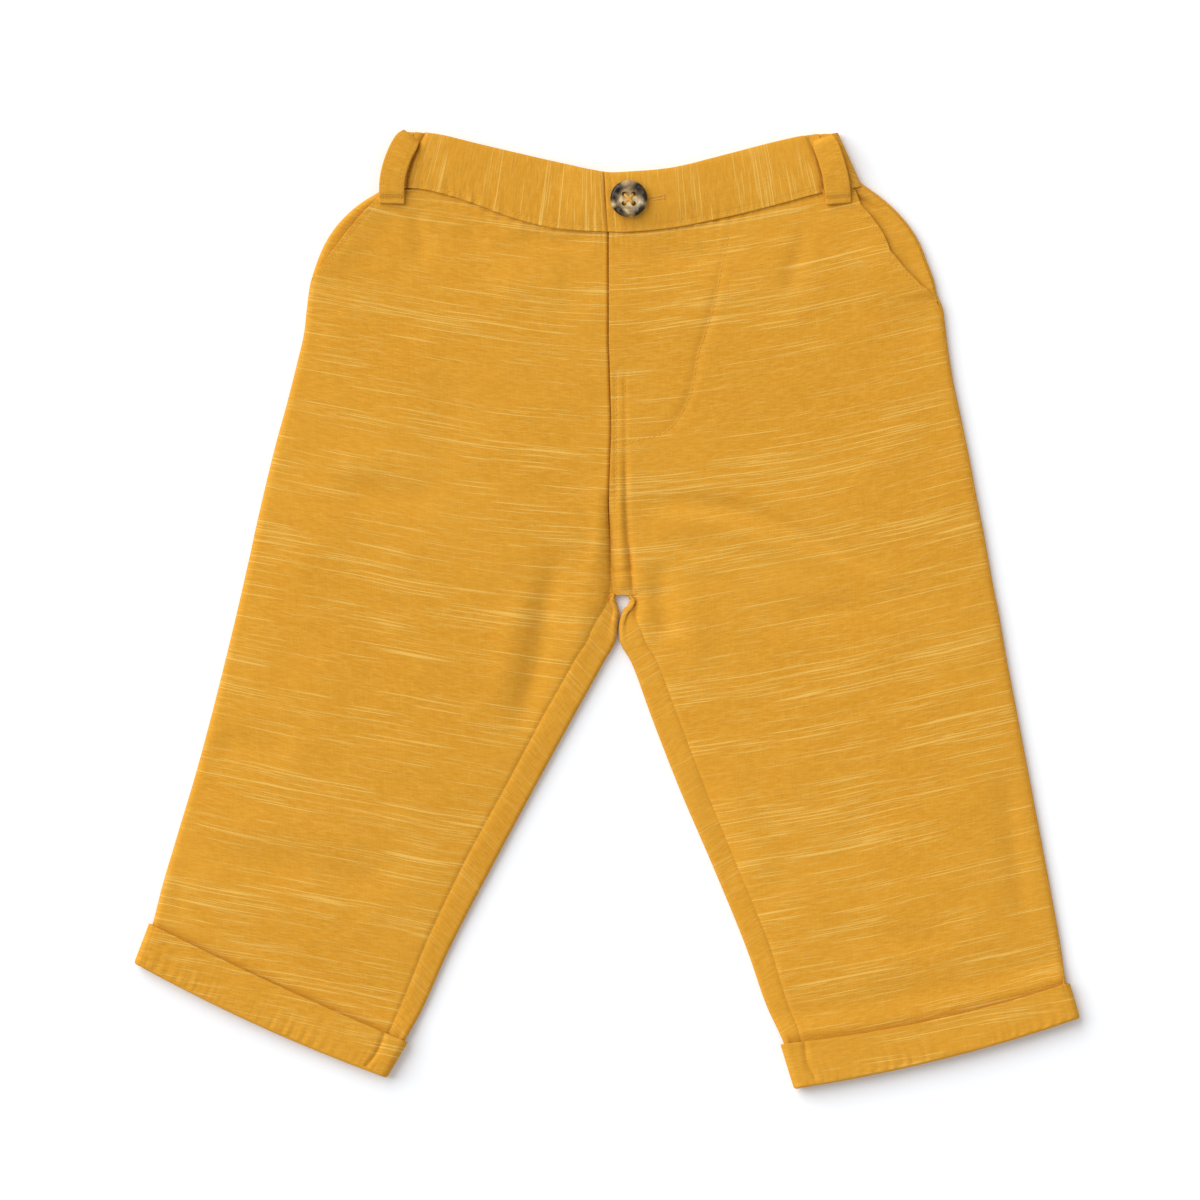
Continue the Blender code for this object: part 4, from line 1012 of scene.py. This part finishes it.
def back_panel(leg):
    """The back: from the side seam down round the outer edge on an arc, flat underneath,
    and below the crotch on an arc round the inner leg and over the front as far as the
    inseam, where the cloth shows its weft mirrored about the leg's inner edge."""
    level = SOLID_PLY / 2 + leg.stand
    columns, flat = [], []
    for angle in np.linspace(leg.seam_angle, -math.pi / 2, ARC_STEPS + 1)[:-1]:
        plan = leg.outer_bend + leg.outer_out * (FOLD_RADIUS * math.cos(angle))
        columns.append(np.column_stack([plan, level + FOLD_RADIUS * (1.0 + math.sin(angle))]))
        flat.append(leg.outer_bend + leg.outer_out * FOLD_RADIUS * (angle + math.pi / 2))
    for fraction in np.linspace(1.0, 0.0, BACK_COLUMNS):
        plan = leg.inner_bend + (leg.outer_bend - leg.inner_bend) * fraction
        across = np.full((len(plan), 1), fraction)
        plan = leg.shifted(plan[:, None, :], across)[:, 0]
        columns.append(np.column_stack([plan, level]))
        flat.append(plan)
    first_arc = len(columns)
    cut = list(weft_map(np.stack(flat, axis=1), leg.side).transpose(1, 0, 2))
    edge = unit(leg.inner[-1] - leg.inner[-len(leg.inner) // 2])
    warp = unit(2.0 * edge * (edge @ STRIP_WARP[leg.side]) - STRIP_WARP[leg.side])
    weft = np.array([warp[1], -warp[0]])
    strip = []
    for angle in np.linspace(-math.pi / 2, math.pi / 2, ARC_STEPS + 1)[1:]:
        turned = (FOLD_RADIUS * math.cos(angle) * leg.turned)[:, None]
        plan = leg.inner_bend + leg.inner_out * turned
        strip.append(np.column_stack([plan, level + FOLD_RADIUS * (1.0 + math.sin(angle))]))
    strip_end = leg.inner + leg.along * leg.inseam[:, None]
    tuck = STRIP_TUCK * np.exp(-np.maximum(leg.below, 0.0) / TUCK_REACH)
    for fraction in np.linspace(0.0, 1.0, STRIP_COLUMNS)[1:]:
        plan = leg.inner_bend + (strip_end - leg.inner_bend) * fraction
        across = (np.sum((plan - leg.inner) * leg.along, axis=1) / leg.width)[:, None]
        shown = plan[:, None, :]
        height = leg.top_height(shown, across) + leg.seam_relief(shown, across)
        strip.append(np.column_stack([plan, height[:, 0] - tuck * fraction]))
    cut += [np.column_stack([points[:, :2] @ weft, points[:, :2] @ warp]) for points in strip]
    grid = np.stack(columns + strip, axis=1)
    rows, count = grid.shape[:2]
    keep = np.ones((rows - 1, count - 1), dtype=bool)
    keep[:leg.first_folded, first_arc - 1:] = False
    cloth(f"back_{leg.side}_panel", grid, np.stack(cut, axis=1), PLY, BACK_LINEN, BACK_FLAT,
          keep=keep, up_at=(rows - 20, count - 3))


def pocket_facing(leg):
    """The hip piece behind the slanted opening: the leg's surface from the side seam to
    under the front, sunk a little there, with a swell, puckers and, left, short folds."""
    rows = np.flatnonzero(leg.pocket > FACING_SHOWS)
    path = leg.path[:, None]
    inside = (leg.edge - FACING_UNDERLAP)[:, None]
    distance = path + (inside - path) * np.linspace(0.0, 1.0, FACING_COLUMNS)
    from_side = path - distance
    plan, height = leg.surface(distance, FACING_SINK * smoothstep((from_side - 2.0) / 4.0))
    plan, height, from_side = plan[rows], height[rows], from_side[rows]
    place = leg.stations[rows][:, None] + 0.0 * from_side
    height = height + waves(plan, FACING_SWELLS) * smoothstep(from_side / 4.0)
    height = height + 0.8 * pucker(place, from_side, FACING_SEED)
    if leg.side == "left":
        for fold in HIP_FOLDS:
            depth, along = crease(plan, fold)
            height = height + depth * np.exp(-along / HIP_REACH) * smoothstep(from_side / 3.0)
    grid = np.dstack([plan, height])
    tall = float(lengths_along(grid[:, 6]).max()) + FACING_MARGIN
    wide = float(np.linalg.norm(grid[:, 0] - grid[:, -1], axis=1).max()) + FACING_MARGIN
    cloth(f"pocket_facing_{leg.side}", grid, weft_map(plan, leg.side), PLY, BACK_LINEN,
          (max(wide, FACING_LEAST), tall))


# ---------------------------------------------------------------- waistband
def band_points(stations, down):
    """Plan points of the waistband at table rows, from the top edge (0) to the seam (1)."""
    table = np.array(BAND_ROWS)
    places = np.arange(len(table), dtype=float)
    ends = spline(table, places, stations)
    return ends[:, :2] + (ends[:, 2:] - ends[:, :2]) * down


def band_relief(grid, down, side):
    """The band's crown, its slow ripples, its turned top edge and the dip and the puckers
    where it is stitched above the seam."""
    plan, place = grid[..., :2], grid[..., 0]
    crown = BAND_CROWN * np.sin(math.pi * down)
    edge = (1.0 - down) * BAND_HEIGHT
    stitched = -0.20 * bell(edge - BAND_STITCH, 0.7)
    top = -0.35 * np.exp(-down * BAND_HEIGHT / 0.9)
    gathers = 1.5 * pucker(place, edge, BAND_SEED[side])
    return crown + stitched + waves(plan, BAND_SWELLS[side]) + top + gathers


def front_band(side):
    """Half of the front waistband, level but for the relief. Near the centre the left half
    rises over the right one, which also rises a little, and dives under it there. Both
    are sunk beside the belt loops, and the left one round the buttonhole."""
    if side == "right":
        # close rows where it dives under the left half's edge
        stations = np.concatenate([np.linspace(BAND_SIDE_RIGHT + BAND_JOIN, 4.8, 130),
                                   np.linspace(4.82, 5.1, 15), np.linspace(5.2, BAND_LAP_END, 12)])
        under = smoothstep((stations - BAND_LAP_EDGE + BAND_DIVE) / BAND_DIVE)
        rise = BAND_LAP_DIP * smoothstep((stations - 3.9) / 0.8) - 2 * BAND_LAP_DIP * under
        quiet = smoothstep((5.1 - stations) / 0.3)[:, None]
    else:
        stations = np.linspace(BAND_LAP_EDGE, BAND_SIDE_LEFT - BAND_JOIN, 90)
        rise = BAND_LAP_RAISE * smoothstep((8.6 - stations) / 2.0)
        quiet = 1.0
    columns = [np.column_stack([band_points(stations, down), BAND_LEVEL + rise])
               for down in BAND_DOWN]
    grid = np.stack(columns, axis=1)
    plan = grid[..., :2]
    down = BAND_DOWN[None, :] + np.zeros(grid.shape[:2])
    relief = band_relief(grid, down, side)
    if side == "left":
        from_edge = np.linalg.norm(plan - plan[:1], axis=-1)
        relief = relief + 0.5 * pressed(from_edge - 2.2) - 0.3 * np.exp(-from_edge / 0.8)
        relief = relief + 0.5 * pressed(line_distance(plan, BUTTONHOLE)[0] * 2.0)
    relief = relief - 1.2 * bell(line_distance(plan, BAND_TRENCHES[side])[0], 1.0)
    raised = np.maximum(rise, 0.0)[:, None]
    relief = relief - 0.85 * raised * smoothstep((down - 0.55) / 0.45)
    grid[..., 2] += relief * quiet
    length = lengths_along(band_points(stations, 0.5))
    cut = np.stack([BAND_HEIGHT * down, length[:, None] + 0.0 * down], axis=-1)
    cloth(f"waistband_{side}", grid, cut, BAND_PLY, LINEN, (BAND_FLAT, length[-1] + BAND_ENDS))


def back_band():
    """The back waistband: flat underneath, up round both hips on arcs, and level to the
    side seams, where elastic gathers it in short waves."""
    last = len(BAND_ROWS) - 1.0
    angles = np.radians(np.linspace(90.0, -90.0, ARC_STEPS + 1))
    under = np.linspace(0.6, last - 0.6, 40)
    columns = []

    def level_run(start, end, fractions):
        """Level points from start to end."""
        return np.array([(*(start + (end - start) * part), BAND_LEVEL) for part in fractions])

    def hip_turn(bend, out, turns):
        """Points on the arc round one hip."""
        plan = bend + out * (BAND_RADIUS * np.cos(turns))[:, None]
        return np.column_stack([plan, BAND_PLY / 2 + BAND_RADIUS * (1 + np.sin(turns))])

    for down in BACK_BAND_DOWN:
        ends = band_points([0.0, 0.5, last - 0.5, last], down)
        right_out, left_out = unit(ends[0] - ends[1]), unit(ends[3] - ends[2])
        right_bend = ends[0] - right_out * (BAND_RADIUS + BAND_PLY / 2)
        left_bend = ends[3] - left_out * (BAND_RADIUS + BAND_PLY / 2)
        seams = band_points([BAND_SIDE_RIGHT, BAND_SIDE_LEFT], down)
        columns.append(np.vstack([
            level_run(seams[0], right_bend, np.linspace(0.0, 1.0, 4)[:-1]),
            hip_turn(right_bend, right_out, angles),
            np.column_stack([band_points(under, down), np.full(len(under), BAND_PLY / 2)]),
            hip_turn(left_bend, left_out, angles[::-1]),
            level_run(left_bend, seams[1], np.linspace(0.0, 1.0, 10)[1:])]))
    grid = np.stack(columns, axis=1)
    length = np.stack([lengths_along(path) for path in columns], axis=1)
    down = BACK_BAND_DOWN[None, :] + 0.0 * length
    above = smoothstep((grid[..., 2] - 1.6) / 1.5)
    crown = np.sin(math.pi * down)
    gather = 0.22 * np.sin(length / GATHER_REACH + 2.0 * np.sin(down * 5.0)) * crown ** 0.5
    grid[..., 2] += (gather + 0.6 * BAND_CROWN * crown) * above
    cut = np.stack([BAND_HEIGHT * down, length], axis=-1)
    flat_length = float(length[-1].mean()) * BAND_FULLNESS
    cloth("waistband_back", grid, cut, BAND_PLY, LINEN, (BAND_FLAT, flat_length),
          up_at=(len(grid) - 4, 9), fullness=BAND_FULLNESS)


def belt_loop(side):
    """A flat strip sewn down at both ends, which stands off the waistband between them on
    a flat arch: sin(way along)^0.7. It narrows and dips at its top end, and it has a
    stitched line by both edges and a tack near its lower end."""
    knots = np.array(LOOP_LINES[side])
    places = lengths_along(knots)
    stations = np.linspace(0.0, places[-1], LOOP_ROWS)
    line = spline(knots, places, stations)
    tangent = unit(np.gradient(line, axis=0))
    across = np.stack([-tangent[:, 1], tangent[:, 0]], axis=1)
    from_end = places[-1] - stations
    height = BAND_LEVEL + BAND_PLY / 2 + BAND_CROWN + LOOP_PLY / 2 + 0.1
    height = height + LOOP_STAND * np.sin(math.pi * (stations / places[-1])) ** 0.7
    height = height - 1.5 * bell(stations, 1.0) - 0.7 * smoothstep((5.0 - from_end) / 4.0)
    tack = -0.35 * bell(from_end - 2.4, 1.0)
    offsets = np.linspace(-0.5, 0.5, LOOP_COLUMNS)
    width = LOOP_WIDTH * (1.0 - 0.2 * bell(stations, 2.0))[:, None]
    plan = line[:, None, :] + across[:, None, :] * (offsets * width)[..., None]
    edge = (0.5 - np.abs(offsets)) * LOOP_WIDTH
    relief = -0.14 * bell(edge - 1.4, 0.6) - 0.30 * np.exp(-edge / 0.5)
    height = (height + tack)[:, None] + relief[None, :] + waves(plan, LOOP_SWELLS[side])
    cut = np.stack(np.broadcast_arrays((offsets * LOOP_WIDTH)[None, :], stations[:, None]), axis=-1)
    flat = (LOOP_WIDTH + LOOP_EDGES, places[-1] + LOOP_ENDS)
    cloth(f"belt_loop_{side}", np.dstack([plan, height]), cut, LOOP_PLY, LOOP_LINEN, flat)
    return line, across


# ---------------------------------------------------------------- cuffs
def cuff_band(side):
    """The turn-up: a flattened ring, two straight runs and two half circles, carried down
    to its fold and turned inside on a half circle, where the wall of the leg meets it.
    Its front has ripples, a lifted top edge, gathers at the fold and the inseam's seam."""
    cuff = CUFFS[side]
    middle = SOLID_PLY / 2 + CUFF_RADIUS
    arc = np.radians(np.linspace(90.0, -90.0, CUFF_ARC)[1:-1])
    ring = [(across, 0.0, 1.0) for across in np.linspace(0.0, 1.0, CUFF_COLUMNS)]
    ring += [(1.0, math.cos(angle), math.sin(angle)) for angle in arc]
    ring += [(across, 0.0, -1.0) for across in np.linspace(1.0, 0.0, CUFF_BACK_COLUMNS)]
    ring += [(0.0, -math.cos(angle), -math.sin(angle)) for angle in arc[::-1]]
    across, outward, upward = np.array(ring).T
    profile = [(fraction, 0.0, CUFF_RADIUS) for fraction in np.linspace(0.0, 1.0, CUFF_ROWS)]
    for angle in np.radians(CUFF_TURN_ANGLES):
        profile.append((1.0, CUFF_TURN * math.sin(angle),
                        CUFF_RADIUS - CUFF_TURN * (1.0 - math.cos(angle))))
    top, end, down = cuff_edges(cuff, across)
    end = end - down * (CUFF_TURN + SOLID_PLY / 2)
    inset = (SOLID_PLY / 2 + CUFF_RADIUS) * (1.0 - 2.0 * across)
    slant = math.radians(CUFF_SLANT[side])
    weft = np.array([math.cos(slant), math.sin(slant)])
    warp = np.array([-weft[1], weft[0]])
    rows, cut = [], []
    for number, (fraction, below, radius) in enumerate(profile):
        plan = top + (end - top) * fraction + down * below
        side_way = unit((np.array(cuff.inner_top) - cuff.outer_top) * (1 - fraction)
                        + (np.array(cuff.inner_end) - cuff.outer_end) * fraction)
        plan = plan + side_way * (inset + outward * radius)[:, None]
        height = middle + upward * radius
        turned_in = max(number + 1 - CUFF_ROWS, 0)
        if not turned_in:
            depth = fraction * CUFF_SHOWN
            relief = waves(plan, CUFF_SWELLS) + 0.20 * math.exp(-depth / 1.2)
            from_fold = max(CUFF_SHOWN - 1.5 - depth, 0.0)
            relief = relief + 1.2 * pucker(across * CUFF_WIDTH, from_fold, CUFF_EDGE_SEED)
            to_seam, down_seam = line_distance(plan, CUFF_SEAMS[side])
            relief = relief + 2.0 * pressed(to_seam)
            relief = relief + 2.4 * pucker(down_seam, to_seam, CUFF_SEAM_SEED)
            height = height + relief * smoothstep(upward * 2.0)
        rows.append(np.column_stack([plan, height]))
        unrolled = plan + down * (0.4 * turned_in)
        cut.append(np.stack([unrolled @ weft, unrolled @ warp], axis=-1))
    grid = np.stack(rows, axis=0)
    around = float(lengths_along(grid[5]).max()) + CUFF_JOIN
    cloth(f"cuff_{side}", grid, np.stack(cut, axis=0), SOLID_PLY, LINEN, (around, CUFF_CUT),
          closed=True, up_at=(4, 40))


# ---------------------------------------------------------------- sewing
def stitch_run(line, tree, stitch, seed):
    """Starts, ends and widths of the stitches of one row laid on the cloth."""
    line = np.asarray(line, float)
    places = lengths_along(line)
    count = max(1, int(places[-1] / stitch.pitch))
    draw = np.random.default_rng(seed)
    mids = (np.arange(count) + 0.5) * places[-1] / count
    mids = mids + draw.uniform(-0.08, 0.08, count) * stitch.pitch
    ends = []
    for half in (-stitch.length / 2, stitch.length / 2):
        plan = spline(line, places, np.clip(mids + half, 0, places[-1]))
        ends.append(np.column_stack([plan, drop(plan, tree) + stitch.rise]))
    return ends[0], ends[1], np.full(count, stitch.width)


def stitch_mesh(name, runs):
    """All stitches of a group as one mesh: each is a bar of 6 sides and 5 rings, whose
    radius swells with a sine to its middle and whose ends dive on a parabola."""
    start, end, width = [np.concatenate(part) for part in zip(*runs)]
    way = unit(end - start)
    across = unit(np.cross(UP, way))
    normal = np.cross(way, across)
    rings = np.linspace(0.0, 1.0, STITCH_RINGS)
    turn = np.arange(STITCH_SIDES) * 2 * math.pi / STITCH_SIDES
    swell = 0.62 + 0.38 * np.sin(math.pi * rings)
    dive = -1.1 * (2.0 * rings - 1.0) ** 2
    centre = start[:, None, :] + (end - start)[:, None, :] * rings[None, :, None]
    centre = centre + normal[:, None, :] * (dive[None, :] * width[:, None] / 2)[..., None]
    radius = (width[:, None] / 2) * swell[None, :]
    side = np.cos(turn)[None, None, :, None] * across[:, None, None, :]
    lift = np.sin(turn)[None, None, :, None] * normal[:, None, None, :]
    points = centre[:, :, None, :] + radius[:, :, None, None] * (side + lift)
    first = np.arange(len(start))[:, None] * STITCH_RINGS * STITCH_SIDES
    bar = grid_faces(STITCH_RINGS, STITCH_SIDES, closed=True)
    quads = (first[:, :, None] + bar).reshape(-1, 4)[:, ::-1]
    cap = np.arange(STITCH_SIDES)
    last_ring = (STITCH_RINGS - 1) * STITCH_SIDES
    caps = np.stack([first + cap, first + last_ring + cap[::-1]], axis=1).reshape(-1, STITCH_SIDES)
    obj = mesh_object(name, points.reshape(-1, 3), quads.tolist() + caps.tolist(), THREAD)
    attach(obj, "root")


def sewing(legs, loops):
    """The rows of stitches that show from above, one mesh for each group."""
    fronts = surface_tree(["front_left_panel", "front_right_panel"])
    bands = surface_tree(["waistband_left", "waistband_right"])
    stitch_mesh("fly_and_centre_topstitching", [
        stitch_run(sewn.line, fronts, TOPSTITCH, 1 + n) for n, sewn in enumerate(SEWN_LINES)])

    runs = []
    for leg in legs:
        rows = np.flatnonzero(leg.pocket > POCKET_SEWN)
        line = leg.surface((leg.edge - POCKET_STITCH)[:, None])[0][rows, 0]
        runs.append(stitch_run(line, fronts, POCKET_TOPSTITCH, 11))
    stitch_mesh("pocket_topstitching", runs)

    low = 1.0 - BAND_STITCH / BAND_HEIGHT
    lap_place = BAND_LAP_EDGE + 0.14
    right = band_points(np.linspace(BAND_SIDE_RIGHT + 0.1, BAND_LAP_EDGE - 0.02, 60), low)
    left = band_points(np.linspace(lap_place, BAND_SIDE_LEFT - 0.1, 60), low)
    lap = np.array([band_points([lap_place], down)[0] for down in np.linspace(0.05, low, 12)])
    stitch_mesh("waistband_topstitching", [
        stitch_run(line, bands, TOPSTITCH, 21 + n) for n, line in enumerate((right, left, lap))])

    runs = []
    for side, (line, across) in loops.items():
        tree = surface_tree([f"belt_loop_{side}"])
        for offset in (-LOOP_SEWN, LOOP_SEWN):
            runs.append(stitch_run((line + across * offset)[3:-3], tree, LOOP_TOPSTITCH, 31))
        for row in (-7, -9):
            bar = line[row] + across[row] * np.linspace(-LOOP_TACK, LOOP_TACK, 9)[:, None]
            runs.append(stitch_run(bar, tree, BAR_TACK, 33))
    stitch_mesh("belt_loop_stitching", runs)

    start, end = np.array(BUTTONHOLE)
    way = unit(end - start)
    across = np.array([-way[1], way[0]])
    runs = []
    for place in np.arange(0.0, np.linalg.norm(end - start), HOLE_PITCH):
        for side in (-HOLE_SIDE, HOLE_SIDE):
            middle = start + way * place + across * side
            bar = np.array([middle - across * HOLE_BAR, middle + across * HOLE_BAR])
            runs.append(stitch_run(bar, bands, HOLE_STITCH, 41))
    for offset in np.linspace(-0.9, 0.9, 6):
        bar = np.array([end + across * offset, end + way + across * offset])
        runs.append(stitch_run(bar, bands, HOLE_TACK, 43))
    stitch_mesh("buttonhole_stitching", runs)


# ---------------------------------------------------------------- button
def button():
    """A turned disc with a rounded rim and a shallow dish: the rings' section turned about
    its middle, with four round holes cut through it and a cross of thread in them."""
    middle = np.array([*BUTTON_PLACE, BUTTON_BASE])
    angles = np.arange(BUTTON_STEPS) * 2 * math.pi / BUTTON_STEPS
    round_way = np.column_stack([np.cos(angles), np.sin(angles), 0.0 * angles])
    points = [middle + round_way * ring.reach + UP * ring.height for ring in BUTTON_RINGS]
    points = np.vstack(points + [middle + UP * BUTTON_DISH, middle])
    faces = grid_faces(len(BUTTON_RINGS), BUTTON_STEPS, closed=True)[:, ::-1].tolist()
    step = np.arange(BUTTON_STEPS)
    after = (step + 1) % BUTTON_STEPS
    last = (len(BUTTON_RINGS) - 1) * BUTTON_STEPS
    top, bottom = len(points) - 2 + 0 * step, len(points) - 1 + 0 * step
    faces += np.column_stack([top, step, after]).tolist()
    faces += np.column_stack([bottom, last + after, last + step]).tolist()
    obj = mesh_object("button_horn", points, faces, HORN)
    holes = []
    for turn in np.radians([45.0, 135.0, 225.0, 315.0]):
        reach = BUTTON_HOLE_SPACE / math.sqrt(2)
        holes.append(middle + UP + np.array([math.cos(turn), math.sin(turn), 0.0]) * reach)
        bpy.ops.mesh.primitive_cylinder_add(vertices=28, radius=BUTTON_HOLE / 2 * MM,
                                            depth=8 * MM, location=(holes[-1] * MM).tolist())
        cutter = bpy.context.object
        cut = obj.modifiers.new("sewing hole", "BOOLEAN")
        cut.operation = "DIFFERENCE"
        cut.object = cutter
        bpy.context.view_layer.objects.active = obj
        bpy.ops.object.modifier_apply(modifier=cut.name)
        bpy.data.objects.remove(cutter, do_unlink=True)
    obj.data.shade_smooth()
    obj.data.set_sharp_from_angle(angle=math.radians(50))
    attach(obj, "root")
    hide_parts("button")

    start, end = [], []
    for first, second, lift in ((0, 2, CROSS_LIFT), (1, 3, CROSS_LIFT + CROSS_OVER)):
        way = unit(holes[second] - holes[first])
        across = np.array([-way[1], way[0], 0.0])
        for offset in (-0.34, 0.0, 0.34):
            aside = across * offset + UP * (lift - abs(offset) * 0.3)
            start.append(holes[first] + aside + way * 0.1)
            end.append(holes[second] + aside - way * 0.1)
    stitch_mesh("button_sewing_cross", [(start, end, np.full(len(start), CROSS_THREAD))])


# ---------------------------------------------------------------- stage
def stage():
    """A white floor, an even sky, and a broad soft light from the upper left."""
    bpy.ops.mesh.primitive_plane_add(size=8.0, location=(0.0, 0.0, -FLOOR_GAP))
    floor = bpy.context.object
    floor.name = "floor"
    material, tree, shader = new_material("white paper sweep")
    place = add(tree, "TexCoord", output="Object")
    grain = add(tree, "TexNoise", {"Vector": place, "Scale": 30.0, "Detail": 2.0}, "Fac")
    connect(shader, {
        "Base Color": add(tree, "ValToRGB", {"Fac": grain}, stops=FLOOR_COLOURS),
        "Roughness": 0.9, "Specular IOR Level": 0.1})
    floor.data.materials.append(material)
    scene = bpy.context.scene
    scene.world = bpy.data.worlds.new("studio")
    scene.world.use_nodes = True
    connect(scene.world.node_tree.nodes["Background"], {
        "Color": (1.0, 1.0, 1.0, 1.0), "Strength": SKY})
    light = bpy.data.lights.new("softbox", "SUN")
    light.angle = math.radians(LAMP_SPREAD)
    light.energy = KEY
    lamp = bpy.data.objects.new("softbox", light)
    lamp.location = LAMP_PLACE
    lamp.rotation_euler = (-lamp.location).to_track_quat("-Z", "Y").to_euler()
    scene.collection.objects.link(lamp)
    scene.view_settings.view_transform = "Standard"


def camera():
    """Straight above, framed so that a pixel of the 1200-pixel frame is 0.4 mm."""
    data = bpy.data.cameras.new("camera")
    data.sensor_width = 36.0
    data.lens = data.sensor_width * CAMERA_HEIGHT / (FRAME_PIXELS * PIXEL * MM)
    data.clip_start = 0.01
    obj = bpy.data.objects.new("camera", data)
    right, down = ORIGIN_PIXEL[0] - FRAME_PIXELS / 2, ORIGIN_PIXEL[1] - FRAME_PIXELS / 2
    obj.location = (-right * PIXEL * MM, down * PIXEL * MM, CAMERA_HEIGHT)
    bpy.context.scene.collection.objects.link(obj)
    bpy.context.scene.camera = obj


def main():
    """All pieces, each on what carries it, then the sewing, the button and the stage."""
    legs = [Leg("right", RIGHT_ROWS), Leg("left", LEFT_ROWS)]
    for leg in legs:
        back_panel(leg)
        front_panel(leg)
        pocket_facing(leg)
    back_band()
    loops = {}
    for side in ("right", "left"):
        front_band(side)
        loops[side] = belt_loop(side)
        cuff_band(side)
    sewing(legs, loops)
    button()
    stage()
    camera()


main()
